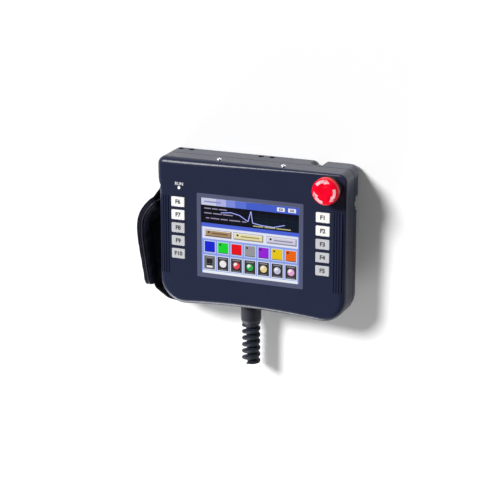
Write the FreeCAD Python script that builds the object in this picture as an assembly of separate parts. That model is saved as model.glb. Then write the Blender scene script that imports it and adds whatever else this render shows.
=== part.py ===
import FreeCAD, Part
import math
import os

# A handheld operator terminal lying on its back: +X is its right, +Y its top edge, +Z the way the
# screen looks. The origin is on the resting plane, below the centre of the screen. Millimetres.

# Screen and the window around it
SCREEN_WIDTH = 115.2
SCREEN_HEIGHT = 86.4
WINDOW_MARGIN = 5.1
WINDOW_CORNER = 1.5
FRAME_THICKNESS = 0.8
FRAME_BEVEL = 0.48
SCREEN_CORNER = 0.4
PANEL_THICKNESS = 1.2
PANEL_PLAY = 0.1
LEDGE_RIM_WIDTH = 3.0
LEDGE_RIM_HEIGHT = 3.0
LEDGE_RIM_MARGIN = 0.5
LEDGE_CORNER = 2.0

# Housing
KEY_GAP = 14.5
GRIP_MARGIN = 18.3
BROW = 36.7
CHIN = 36.0
HOUSING_DEPTH = 51.0
FRONT_DEPTH = 25.5
FOOT_ARCH = 3.6
ARCH_FULLNESS = 0.97
WALL = 3.0
PARTING_GROOVE = 0.5
TOP_CORNER = 9.0
FOOT_CORNER = 29.0
WAIST_INSET = 2.0
WAIST_BEND = 60.0
TOP_EDGE = 2.6
SIDE_EDGE = 7.5
GRIP_HEIGHT = 12.0
GRIP_EDGE = 6.0
HUMP_EDGE = 3.0
HUMP_CORNER = 6.0
HUMP_FOOT_INSET = 9.0
ARM_STEP = 1.5
SLAB_THICKNESS = 4.5
GRIP_END_CORNER = 3.0
GRIP_END_ROUND = 4.0
GRIP_END_SLOPE = 6.0
GRIP_END_INSET = 6.0
SIDE_NOTCH_HEIGHT = 9.0
SIDE_NOTCH_DEPTH = 3.5
SIDE_NOTCH_ROOF = 0.5
GASKET_WIDTH = 1.2
GASKET_THICKNESS = 1.0
GRIP_GROOVES = 4
GROOVE_PITCH = 3.0
GROOVE_RADIUS = 1.05
GROOVE_LIFT = 0.1
GROOVE_SIDE_INSET = 3.9
GROOVE_TOP_DROP = 43.0
GROOVE_FOOT_RISE = 36.0

# Corner housing behind the emergency stop
CORNER_WIDTH = 41.0
CORNER_HEIGHT = 34.4
CORNER_GAP = 11.0
CORNER_SIDE_ROUND = 16.0
CORNER_EDGE = 2.5
CORNER_WALL = 2.5
CORNER_INNER_ROUND = 3.2
CORNER_FOOT_ROUND = 6.0
CORNER_SCREW_INSET = 6.5
CORNER_SEAT_DROP = 8.0

# Function keys
KEY_WIDTH = 16.0
KEY_HEIGHT = 11.2
KEY_PITCH = 14.95
KEY_ROWS = 5
KEY_TOP_DROP = 7.6
KEY_PROUD = 0.9
KEY_TRAVEL = 0.8
KEY_PLAY = 0.3
KEY_FLANGE = 1.2
KEY_FLANGE_LIP = 1.2
KEY_STEM = 2.0
KEY_CORNER = 1.0
KEY_CHAMFER = 0.5
SWITCH_SIZE = 10.0
SWITCH_HEIGHT = 3.9
SWITCH_CORNER = 0.8
SWITCH_GAP = 3.3
STEM_OVERLAP = 1.0
STEM_SPARE = 0.4

# Boards and the display module
BOARD_THICKNESS = 1.6
BOARD_CORNER = 2.0
KEY_BOARD_WIDTH = 20.0
KEY_BOARD_HEAD = 5.0
KEY_BOARD_TAIL = 11.0
KEY_BOSS_SHIFT = 6.0
KEY_BOSS_RISE = 6.4
KEY_SCREW_LENGTH = 8.0
LCD_SIDE = 14.0
LCD_END = 8.8
LCD_DEPTH = 12.5
LCD_CORNER = 1.5
EAR_THICKNESS = 1.5
EAR_WIDTH = 10.0
EAR_REACH = 9.0
EAR_SIDE_INSET = 12.0
EAR_SCREW_LENGTH = 4.0
SPACER_LENGTH = 3.0
SPACER_RADIUS = 3.2
SPACER_INSET = 6.0
BOARD_SIDE_INSET = 3.0
BOARD_END_INSET = 4.0
HEADER_LENGTH = 28.0
HEADER_WIDTH = 9.0
HEADER_HEIGHT = 9.0
HEADER_WALL = 1.5
HEADER_FLOOR = 2.0
HEADER_FOOT_RISE = 12.0
BUZZER_PLACE = (34.0, 22.0)
BUZZER_RADIUS = 6.0
BUZZER_HEIGHT = 7.0
BUZZER_EDGE = 0.8
BUZZER_PORT_RADIUS = 1.0
BUZZER_PORT_DEPTH = 3.0
CELL_PLACE = (-36.0, 20.0)
CELL_RADIUS = 10.0
CELL_HEIGHT = 4.4
CELL_EDGE = 0.6

# RUN lamp
LAMP_RADIUS = 1.7
LAMP_PROUD = 0.7
LAMP_DOME = 0.6
LAMP_ABOVE_KEY = 16.1
LAMP_SHIFT = 1.4

# Emergency stop
ESTOP_SIDE_INSET = 19.0
ESTOP_TOP_INSET = 16.0
ESTOP_TRAVEL = 4.0
STOP_SPARE = 0.4
HEAD_RADIUS = 15.0
HEAD_HEIGHT = 10.6
HEAD_DISH = 0.9
HEAD_CREST = 9.3
HEAD_CREST_ROUND = 6.0
HEAD_DRAFT = 0.4
HEAD_SHOULDER_DROP = 1.6
HEAD_SHOULDER_ROUND = 2.4
HEAD_SKIRT = 2.2
HEAD_SKIRT_ROUND = 1.6
HEAD_LIP = 1.8
HEAD_LIP_ROUND = 1.0
SCALLOPS = 3
SCALLOP_RADIUS = 17.0
SCALLOP_REACH = 9.9
SCALLOP_DEPTH = 1.1
HUB_RADIUS = 6.8
HUB_DROP = 2.4
HUB_ROUND = 1.2
SHAFT_RADIUS = 4.0
SHAFT_COVER = 4.0
SHAFT_FLANGE = 2.0
SHAFT_EDGE = 0.5
COLLAR_WIDTH = 5.8
COLLAR_HEIGHT = 3.0
COLLAR_SLOPE = 1.0
COLLAR_FOOT_ROUND = 0.4
COLLAR_TOP_ROUND = 0.8
CUP_PLAY = 0.5
CUP_ROUND = 0.3
BARREL_RADIUS = 8.0
BARREL_WALL = 1.5
BARREL_DROP = 21.0
BARREL_EDGE = 0.6
ESTOP_GASKET = 0.8
SPRING_WIRE = 0.9
SPRING_TURNS = 5
SPRING_LENGTH = 12.0
SPRING_END_GAP = 0.05
NUT_WALL = 2.6
NUT_HEIGHT = 4.0
NUT_NOTCHES = 6
NUT_NOTCH_WIDTH = 3.0
NUT_NOTCH_DEPTH = 1.2
CONTACT_SIZE = 19.0
CONTACT_HEIGHT = 17.0
CONTACT_CORNER = 1.5
CONTACT_PLAY = 1.0
TERMINAL_PITCH = 9.0
TERMINAL_WIDTH = 5.0
TERMINAL_DEPTH = 3.5
TERMINAL_HEIGHT = 6.0

# Enabling switch behind the left grip
ENABLE_LENGTH = 58.0
ENABLE_WIDTH = 15.0
ENABLE_PROUD = 7.0
ENABLE_TRAVEL = 4.0
ENABLE_SIDE_INSET = 28.0
ENABLE_Y = -1.0
ENABLE_CORNER = 3.0
ENABLE_EDGE = 2.5
ENABLE_FLANGE = 1.4
ENABLE_FLANGE_LIP = 1.5
ENABLE_STEM = 3.0
ENABLE_STEM_SEAT = 0.6
ENABLE_BODY_WIDTH = 14.0
ENABLE_BODY_HEIGHT = 10.0
ENABLE_BODY_END = 10.0
ENABLE_POST_WIDTH = 12.0
ENABLE_POST_DEPTH = 6.0
ENABLE_POST_GAP = 4.0

# Hand strap
STRAP_WIDTH = 24.0
STRAP_THICKNESS = 2.2
STRAP_PLAY = 1.0
PAD_WIDTH = 44.0
PAD_THICKNESS = 12.5
PAD_PAST_STRAP = 6.0
PIN_RADIUS = 2.0
PIN_SIDE_INSET = 7.5
PIN_SEAT = 2.3
PIN_SPARE = 0.2
POCKET_DEPTH = 13.0
POCKET_HEIGHT = 18.0
POCKET_MOUTH = 5.0
STRAP_TOP_DROP = 33.0
STRAP_FOOT_RISE = 7.5
STRAP_FOOT_INSET = 23.0
NOTCH_DEPTH = 5.0
NOTCH_MOUTH = 2.0
NOTCH_ROUND = 1.5
PAD_HEAD_OUT = 11.0
PAD_HEAD_DROP = 18.5
PAD_SHOULDER_OUT = 29.8
PAD_SHOULDER_DROP = 43.3
PAD_SHOULDER_ROUND = 38.0
PAD_FLANK_OUT = 26.0
PAD_FLANK_DROP = 76.0
PAD_FLANK_ROUND = 120.0
PAD_FOOT_OUT = 19.4
PAD_FOOT_RISE = 8.6
PAD_SKIN = 0.8
TAIL_RUN = 5.0
TAIL_BEND = 4.0
TAIL_MOUTH_OUT = 2.2
TAIL_MOUTH_DROP = 8.0
TAIL_MOUTH_BEND = 5.0
ELBOW_BEND = 8.0
KNEE_INSET = 7.5
KNEE_DROP = 6.2
KNEE_BEND = 20.0
HEEL_DROP = 7.7
HEEL_BEND = 3.5

# Strain relief
BOOT_X = -8.2
BOOT_LENGTH = 70.0
BOOT_COLLAR_RADIUS = 11.4
BOOT_COLLAR_LENGTH = 19.0
BOOT_COLLAR_ROUND = 2.0
BOOT_CONE_LENGTH = 4.5
BOOT_CONE_STEP = 0.4
BOOT_CONE_EDGE = 0.5
BOOT_EDGE = 0.8
BOOT_FIN_RADIUS = 10.2
BOOT_CORE_RADIUS = 5.9
BOOT_TAPER = 1.5
BOOT_BORE_RADIUS = 3.2
BOOT_NECK_RADIUS = 8.0
BOOT_SEAT_GAP = 0.1
BOOT_TURNS = 6
BOOT_RUN_OUT = 1.3
FIN_ROOT = 6.2
FIN_TIP = 3.8
FIN_SINK = 0.6
GLAND_NUT_HEIGHT = 4.0
GLAND_NUT_WALL = 4.0
GLAND_NUT_GAP = 0.4
NECK_PAST_NUT = 1.5

# Strap-hole pairs in the top wall and the screws there
LUG_SIDE_INSET = 17.9
LUG_CENTRE_X = 3.2
LUG_HOLE_WIDTH = 5.5
LUG_HOLE_HEIGHT = 6.5
LUG_BRIDGE = 7.6
LUG_BRIDGE_THICKNESS = 2.4
LUG_TUNNEL_STEP = 0.75
LUG_DEPTH = 7.0
LUG_WALL = 2.5
LUG_FROM_REAR = 8.0
TOP_SCREW_X = (-39.7, 35.4)
TOP_SCREW_DEPTH = 10.2
TOP_SCREW_LENGTH = 10.0

# Fasteners and fits
SCREW_RADIUS = 1.45
SCREW_HOLE = 1.6
SCREW_HEAD_RADIUS = 2.75
SCREW_HEAD_HEIGHT = 2.0
SCREW_HEAD_CHAMFER = 0.8
COUNTERBORE = 3.3
BOSS_RADIUS = 4.0
BOSS_SINK = 0.5
BOSS_BACKING = 2.0
COLUMN_RADIUS = 5.2
CASE_SCREW_LENGTH = 19.0
CASE_SEAT_DROP = 8.0
CASE_TOP_INSET = 9.5
CASE_ARM_SHIFT = 6.5
CASE_RIGHT_INSET = 19.5
CASE_FOOT_INSET = 13.5
CASE_FOOT_RISE = 16.0
CASE_SIDE_INSET = 8.5
CASE_SIDE_Y = -12.0
SCREW_SPARE = 1.0
RUNNING_FIT = 0.1
LOOSE_FIT = 0.3

# How far a cutting tool reaches past the wall it cuts, and how far a joined piece sinks in
THROUGH = 1.0
BEYOND = 5.0
WELD = 0.5
SAME = 1e-4

# Sizes that follow from those above
window_x = SCREEN_WIDTH / 2 + WINDOW_MARGIN
window_y = SCREEN_HEIGHT / 2 + WINDOW_MARGIN
key_x = window_x + KEY_GAP + KEY_WIDTH / 2
side_x = key_x + KEY_WIDTH / 2 + GRIP_MARGIN
waist_x = side_x - WAIST_INSET
top_y = window_y + BROW
foot_y = -window_y - CHIN
foot_slope = 2 * FOOT_ARCH / (side_x - FOOT_CORNER)
foot_corner_y = foot_y - foot_slope * FOOT_CORNER
foot_corner_reach = FOOT_CORNER * math.tan((math.pi / 2 + math.atan(foot_slope)) / 2)
front_z = HOUSING_DEPTH
parting_z = HOUSING_DEPTH - FRONT_DEPTH
inner_front_z = front_z - WALL
grip_inner_z = GRIP_HEIGHT + WALL
slab_z = parting_z - SLAB_THICKNESS
rim_z = inner_front_z - LEDGE_RIM_HEIGHT
panel_z = front_z - FRAME_THICKNESS
first_key_y = SCREEN_HEIGHT / 2 - KEY_TOP_DROP
last_key_y = first_key_y - (KEY_ROWS - 1) * KEY_PITCH
slot_right_x = side_x - CORNER_WIDTH
slot_left_x = slot_right_x - CORNER_GAP
corner_foot_y = top_y - CORNER_HEIGHT
corner_seat_z = slab_z - CORNER_SEAT_DROP
grip_top_y = corner_foot_y - CORNER_GAP
hump_x = slot_left_x

upper_pin = (-side_x + PIN_SIDE_INSET, top_y - STRAP_TOP_DROP)
lower_pin = (-side_x + STRAP_FOOT_INSET, foot_y + STRAP_FOOT_RISE)
arm_y = upper_pin[1] + POCKET_HEIGHT / 2 - ARM_STEP
strap_low_z = grip_inner_z + STRAP_PLAY
strap_top_z = strap_low_z + STRAP_WIDTH
pad_top_z = strap_top_z + PAD_PAST_STRAP
pocket_top_z = strap_top_z + STRAP_PLAY
loop_inner = PIN_RADIUS + LOOSE_FIT
loop_outer = loop_inner + STRAP_THICKNESS

lamp_place = (-key_x + LAMP_SHIFT, first_key_y + LAMP_ABOVE_KEY)
switch_top_z = inner_front_z - KEY_FLANGE - SWITCH_GAP
key_board_top_z = switch_top_z - SWITCH_HEIGHT
key_board_z = key_board_top_z - BOARD_THICKNESS
key_board_top_y = lamp_place[1] + KEY_BOARD_HEAD
key_board_foot_y = last_key_y - KEY_HEIGHT / 2 - KEY_BOARD_TAIL
lcd_half_x = SCREEN_WIDTH / 2 + LCD_SIDE
lcd_half_y = SCREEN_HEIGHT / 2 + LCD_END
lcd_back_z = rim_z - LCD_DEPTH
board_z = lcd_back_z - SPACER_LENGTH - BOARD_THICKNESS
board_half_x = lcd_half_x - BOARD_SIDE_INSET
board_half_y = lcd_half_y - BOARD_END_INSET

estop_x = side_x - ESTOP_SIDE_INSET
estop_y = top_y - ESTOP_TOP_INSET
barrel_hole = BARREL_RADIUS + RUNNING_FIT
collar_radius = BARREL_RADIUS + COLLAR_WIDTH
nut_radius = BARREL_RADIUS + NUT_WALL
spring_bore = BARREL_RADIUS - BARREL_WALL
collar_z = front_z + ESTOP_GASKET
collar_top = collar_z + COLLAR_HEIGHT
head_low = collar_top + ESTOP_TRAVEL + STOP_SPARE
head_top = head_low + HEAD_HEIGHT
hub_low = head_low - HUB_DROP
barrel_foot = front_z - BARREL_DROP
spring_top = barrel_foot + SPRING_LENGTH
flange_top = spring_top + SHAFT_FLANGE
shaft_foot = barrel_foot + ESTOP_TRAVEL + STOP_SPARE
shaft_top = head_top - SHAFT_COVER

enable_x = -side_x + ENABLE_SIDE_INSET
enable_body_z = grip_inner_z + ENABLE_FLANGE + ENABLE_TRAVEL + ENABLE_STEM_SEAT
case_seat_z = parting_z - CASE_SEAT_DROP
gland_seat = -WALL - GLAND_NUT_GAP
lug_places = (-side_x + LUG_SIDE_INSET, LUG_CENTRE_X)

# Places of the fasteners
sides = (-1, 1)
quarters = [(right, up) for right in sides for up in sides]
ear_x = lcd_half_x - EAR_SIDE_INSET
ear_y = lcd_half_y + EAR_REACH / 2
ear_places = [(right * ear_x, up * ear_y) for right, up in quarters]
spacer_x = board_half_x - SPACER_INSET
spacer_y = board_half_y - SPACER_INSET
spacer_places = [(right * spacer_x, up * spacer_y) for right, up in quarters]
key_boss_places = [(right * key_x, key_board_foot_y + KEY_BOARD_HEAD) for right in sides]
key_boss_y = first_key_y + KEY_HEIGHT / 2 + KEY_BOSS_RISE
key_boss_places += [(right * (key_x + KEY_BOSS_SHIFT), key_boss_y) for right in sides]
case_screw_places = [
    (-hump_x - CASE_ARM_SHIFT, top_y - CASE_TOP_INSET),
    (hump_x - CASE_RIGHT_INSET, top_y - CASE_TOP_INSET),
]
for right in sides:
    case_screw_places.append((right * (hump_x - CASE_FOOT_INSET), foot_y + CASE_FOOT_RISE))
    case_screw_places.append((right * (side_x - CASE_SIDE_INSET), CASE_SIDE_Y))
corner_screw_x = slot_right_x + CORNER_SCREW_INSET
corner_screw_places = [
    (corner_screw_x, top_y - CORNER_SCREW_INSET),
    (corner_screw_x, corner_foot_y + CORNER_SCREW_INSET),
]


def point(x, y, z=0.0):
    return FreeCAD.Vector(x, y, z)


def corner_arcs(corners, z, closed):
    """Start, middle and end of the tangent arc at each (x, y, radius) corner of a flat path."""
    arcs = []
    count = len(corners)
    for index, (x, y, radius) in enumerate(corners):
        here = point(x, y, z)
        end_of_path = not closed and index in (0, count - 1)
        if radius == 0 or end_of_path:
            arcs.append((here, None, here))
            continue
        back = point(corners[index - 1][0], corners[index - 1][1], z) - here
        ahead_corner = corners[(index + 1) % count]
        ahead = point(ahead_corner[0], ahead_corner[1], z) - here
        back.normalize()
        ahead.normalize()
        half_angle = back.getAngle(ahead) / 2
        reach = radius / math.tan(half_angle)
        inward = (back + ahead).normalize()
        middle = here + inward * (radius / math.sin(half_angle) - radius)
        arcs.append((here + back * reach, middle, here + ahead * reach))
    return arcs


def path_edges(corners, z, closed):
    """Straight runs and tangent arcs along a flat path of (x, y, radius) corners."""
    arcs = corner_arcs(corners, z, closed)
    edges = []
    for index, (start, middle, end) in enumerate(arcs):
        if middle is not None:
            edges.append(Part.Arc(start, middle, end).toShape())
        if not closed and index == len(arcs) - 1:
            break
        following = arcs[(index + 1) % len(arcs)][0]
        if end.distanceToPoint(following) > SAME:
            edges.append(Part.LineSegment(end, following).toShape())
    return edges


def outline(corners, z=0.0):
    return Part.Wire(path_edges(corners, z, True))


def prism(wire, height):
    return Part.Face(wire).extrude(point(0, 0, height))


def plate(corners, low, high):
    return prism(outline(corners, low), high - low)


def block(x_range, y_range, z_range):
    size = [pair[1] - pair[0] for pair in (x_range, y_range, z_range)]
    return Part.makeBox(size[0], size[1], size[2], point(x_range[0], y_range[0], z_range[0]))


def around(middle, width):
    return (middle - width / 2, middle + width / 2)


def post(place, low, high, radius):
    return Part.makeCylinder(radius, high - low, point(place[0], place[1], low))


def posts(places, low, high, radius):
    return [post(place, low, high, radius) for place in places]


def rod(start, length, radius):
    """Round bar lying along +Y."""
    return Part.makeCylinder(radius, length, start, point(0, 1, 0))


def rectangle(x, y, width, height, radius):
    right, left = x + width / 2, x - width / 2
    top, foot = y + height / 2, y - height / 2
    return [(right, top, radius), (left, top, radius), (left, foot, radius), (right, foot, radius)]


def hexagon(place, radius, z):
    turns = [math.radians(60 * step) for step in range(7)]
    return Part.makePolygon([
        point(place[0] + radius * math.cos(turn), place[1] + radius * math.sin(turn), z) for turn in turns
    ])


def revolved(profile, place):
    """Solid of revolution about a vertical axis; the profile is a list of (radius, z, corner radius)."""
    face = Part.Face(outline(profile))
    face.rotate(point(0, 0), point(1, 0), 90)
    solid = face.revolve(point(0, 0), point(0, 0, 1), 360)
    solid.translate(point(place[0], place[1]))
    return solid


def edges_at(shape, z):
    """Edges that lie wholly in the level plane at z."""
    flat = []
    for edge in shape.Edges:
        box = edge.BoundBox
        if abs(box.ZMin - z) < SAME and abs(box.ZMax - z) < SAME:
            flat.append(edge)
    return flat


def join(shapes):
    return shapes[0].multiFuse(shapes[1:]).removeSplitter()


def screw(place, seat_z, shank):
    """Pan-head screw driven upward, with its head below the seat."""
    low = seat_z - SCREW_HEAD_HEIGHT
    head = post(place, low, seat_z, SCREW_HEAD_RADIUS)
    head = head.makeChamfer(SCREW_HEAD_CHAMFER, edges_at(head, low))
    stem = post(place, seat_z, seat_z + shank, SCREW_RADIUS)
    return head.fuse(stem).removeSplitter()


def housing_outline(z):
    """Straight top, left side drawn in below the strap, round lower corners, shallow arch along the foot."""
    apex_y = foot_y + 2 * FOOT_ARCH
    room = math.hypot(waist_x, apex_y - foot_corner_y) - foot_corner_reach
    arch_radius = ARCH_FULLNESS * room / foot_slope
    return outline([
        (side_x, top_y, TOP_CORNER),
        (-side_x, top_y, TOP_CORNER),
        (-side_x, upper_pin[1] + POCKET_HEIGHT / 2, WAIST_BEND),
        (-waist_x, upper_pin[1] - POCKET_HEIGHT / 2, WAIST_BEND),
        (-waist_x, foot_corner_y, FOOT_CORNER),
        (0, apex_y, arch_radius),
        (side_x, foot_corner_y, FOOT_CORNER),
    ], z)


def rounded_rim(shape, z):
    """Crisp edge along the top wall that grows into a wide rounding on the sides and foot."""
    document = FreeCAD.newDocument("rim")
    base = document.addObject("Part::Feature", "base")
    base.Shape = shape
    fillet = document.addObject("Part::Fillet", "fillet")
    fillet.Base = base
    radii = []
    for number, edge in enumerate(shape.Edges, 1):
        box = edge.BoundBox
        if abs(box.ZMin - z) > SAME or abs(box.ZMax - z) > SAME:
            continue
        ends = [vertex.Point.y for vertex in edge.Vertexes]
        if edge.Orientation == "Reversed":
            ends.reverse()
        sizes = [TOP_EDGE if abs(y - top_y) < SAME else SIDE_EDGE for y in ends]
        radii.append((number, sizes[0], sizes[1]))
    fillet.Edges = radii
    document.recompute()
    result = fillet.Shape.copy()
    FreeCAD.closeDocument(document.Name)
    return result


def strap_wells(low, high, extra):
    """Pockets that the strap tails enter, or with extra the walled blocks around them."""
    mouth = POCKET_HEIGHT + 2 * extra
    depth = POCKET_DEPTH + extra
    upper = block((-side_x - THROUGH, -side_x + depth), around(upper_pin[1], mouth), (low, high))
    lower = block(around(lower_pin[0], mouth), (foot_y - POCKET_MOUTH, foot_y + depth), (low, high))
    return [upper, lower]


def strap_notch(low, high):
    """Rounded V in the left wall where the strap comes out."""
    low_y, high_y = around(upper_pin[1], POCKET_HEIGHT)
    corners = [
        (-side_x - NOTCH_MOUTH, high_y, 0),
        (-side_x - NOTCH_MOUTH, low_y, 0),
        (-side_x + NOTCH_DEPTH, upper_pin[1], NOTCH_ROUND),
    ]
    return plate(corners, low, high)


def side_notch():
    """Rounded V in the right wall between the corner housing and the grip."""
    mouth_x = side_x + NOTCH_MOUTH
    foot = corner_foot_y - SIDE_NOTCH_HEIGHT
    corners = [
        (mouth_x, corner_foot_y, 0),
        (mouth_x, foot, 0),
        (side_x - SIDE_NOTCH_DEPTH, (corner_foot_y + foot) / 2, NOTCH_ROUND),
    ]
    return plate(corners, slab_z - THROUGH, parting_z - GASKET_THICKNESS - SIDE_NOTCH_ROOF)


def key_places():
    """Each key with its centre: 1 to 5 down the right column, 6 to 10 down the left one."""
    places = []
    for column, x in enumerate((key_x, -key_x)):
        for row in range(KEY_ROWS):
            number = column * KEY_ROWS + row + 1
            places.append((number, x, first_key_y - row * KEY_PITCH))
    return places


def gland_hole():
    start = point(BOOT_X, foot_y - THROUGH, parting_z)
    return rod(start, FOOT_ARCH + WALL + 3 * THROUGH, BOOT_NECK_RADIUS + RUNNING_FIT)


def grip_grooves():
    """Round-bottomed grooves along both grips, each let into the rounded edge where it lies."""
    grooves = []
    start_y = foot_y + GROOVE_FOOT_RISE
    length = top_y - GROOVE_TOP_DROP - start_y
    for side, edge_x in ((1, side_x), (-1, waist_x)):
        for index in range(GRIP_GROOVES):
            inset = GROOVE_SIDE_INSET + index * GROOVE_PITCH
            drop = max(0.0, SIDE_EDGE - inset)
            surface = front_z - SIDE_EDGE + math.sqrt(SIDE_EDGE ** 2 - drop ** 2)
            start = point(side * (edge_x - inset), start_y, surface + GROOVE_LIFT)
            grooves.append(rod(start, length, GROOVE_RADIUS))
    return grooves


def front_housing():
    outer = rounded_rim(prism(housing_outline(parting_z), FRONT_DEPTH), front_z)
    outer = outer.makeChamfer(PARTING_GROOVE, edges_at(outer, parting_z))
    cavity = prism(housing_outline(parting_z).makeOffset2D(-WALL), inner_front_z - parting_z)
    cavity = cavity.makeFillet(SIDE_EDGE - WALL, edges_at(cavity, inner_front_z))
    cavity = cavity.cut(strap_wells(parting_z - THROUGH, front_z, WALL))
    boss_top = inner_front_z + BOSS_SINK
    bosses = posts(ear_places, rim_z, boss_top, BOSS_RADIUS)
    bosses += posts(key_boss_places, key_board_top_z, boss_top, BOSS_RADIUS)
    bosses += posts(case_screw_places, parting_z, boss_top, BOSS_RADIUS)
    screw_depth = TOP_SCREW_LENGTH + SCREW_SPARE
    boss_depth = screw_depth + BOSS_BACKING
    for x in TOP_SCREW_X:
        start = point(x, top_y - boss_depth, front_z - TOP_SCREW_DEPTH)
        bosses.append(rod(start, boss_depth - BOSS_BACKING, BOSS_RADIUS))
    rim_width = 2 * (window_x + LEDGE_RIM_MARGIN)
    rim_height = 2 * (window_y + LEDGE_RIM_MARGIN)
    bosses.append(plate(rectangle(0, 0, rim_width, rim_height, LEDGE_CORNER), rim_z, boss_top))
    shell = join([outer.cut(cavity)] + bosses)

    ledge = 2 * (WINDOW_MARGIN - LEDGE_RIM_WIDTH)
    opening = rectangle(0, 0, SCREEN_WIDTH + ledge, SCREEN_HEIGHT + ledge, KEY_CORNER)
    seat = rectangle(
        0, 0, 2 * (window_x + PANEL_PLAY), 2 * (window_y + PANEL_PLAY), WINDOW_CORNER + PANEL_PLAY)
    past = front_z + THROUGH
    inside = inner_front_z - THROUGH
    cuts = [plate(opening, rim_z - THROUGH, past), plate(seat, panel_z - PANEL_THICKNESS, past)]
    for number, x, y in key_places():
        hole = rectangle(x, y, KEY_WIDTH + 2 * KEY_PLAY, KEY_HEIGHT + 2 * KEY_PLAY, KEY_CORNER)
        cuts.append(plate(hole, inside, past))
    cuts.append(post(lamp_place, inside, past, LAMP_RADIUS + RUNNING_FIT))
    stop = (estop_x, estop_y)
    cuts.append(post(stop, inside, past, barrel_hole))
    cuts.append(post(stop, inner_front_z - NUT_HEIGHT - 2 * THROUGH, inner_front_z, nut_radius + LOOSE_FIT))
    screw_top = case_seat_z + CASE_SCREW_LENGTH + SCREW_SPARE
    cuts += posts(case_screw_places, parting_z - THROUGH, screw_top, SCREW_HOLE)
    key_screw_top = key_board_z + KEY_SCREW_LENGTH + SCREW_SPARE
    cuts += posts(key_boss_places, key_board_top_z - THROUGH, key_screw_top, SCREW_HOLE)
    cuts += posts(ear_places, rim_z - THROUGH, inner_front_z + THROUGH, SCREW_HOLE)
    for x in TOP_SCREW_X:
        start = point(x, top_y - screw_depth, front_z - TOP_SCREW_DEPTH)
        cuts.append(rod(start, screw_depth + THROUGH, SCREW_HOLE))
    cuts += strap_wells(parting_z - THROUGH, pocket_top_z, 0)
    cuts.append(strap_notch(parting_z - THROUGH, past))
    pin_hole_top = pocket_top_z + PIN_SEAT + PIN_SPARE
    cuts += posts((upper_pin, lower_pin), pocket_top_z - THROUGH, pin_hole_top, PIN_RADIUS + RUNNING_FIT)
    cuts.append(gland_hole())
    cuts += grip_grooves()
    return shell.cut(cuts)


def hump_corners(inset):
    """Deep middle of the rear half with an arm to the left along the top."""
    corner = HUMP_CORNER - inset
    inner = HUMP_CORNER + inset
    foot = foot_y + HUMP_FOOT_INSET + inset
    return [
        (hump_x - inset, top_y - inset, corner / 2),
        (-side_x + inset, top_y - inset, TOP_CORNER - inset),
        (-side_x + inset, arm_y + inset, corner),
        (-hump_x + inset, arm_y + inset, inner),
        (-hump_x + inset, foot, corner),
        (hump_x - inset, foot, corner),
    ]


def lug_holes():
    """Pairs of holes in the top wall joined under a bridge, for a neck strap."""
    cuts = []
    floor_y = top_y - LUG_DEPTH
    low, high = around(LUG_FROM_REAR, LUG_HOLE_HEIGHT)
    for x in lug_places:
        inner = LUG_BRIDGE / 2
        outer = inner + LUG_HOLE_WIDTH
        for side in sides:
            ends = sorted((x + side * inner, x + side * outer))
            cuts.append(block(ends, (floor_y, top_y + THROUGH), (low, high)))
        tunnel = (low + LUG_TUNNEL_STEP, high - LUG_TUNNEL_STEP)
        cuts.append(block(around(x, LUG_BRIDGE), (floor_y, top_y - LUG_BRIDGE_THICKNESS), tunnel))
    return cuts


def enable_posts():
    """Stands in the rear half that carry the switch body at its two ends."""
    stands = []
    for side in sides:
        y = ENABLE_Y + side * (ENABLE_LENGTH / 2 + ENABLE_POST_GAP + ENABLE_POST_DEPTH / 2)
        stands.append(block(
            around(enable_x, ENABLE_POST_WIDTH),
            around(y, ENABLE_POST_DEPTH),
            (grip_inner_z - THROUGH, enable_body_z)))
    return stands


def contact_window():
    size = CONTACT_SIZE + 2 * CONTACT_PLAY
    return rectangle(estop_x, estop_y, size, size, BOARD_CORNER)


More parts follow.
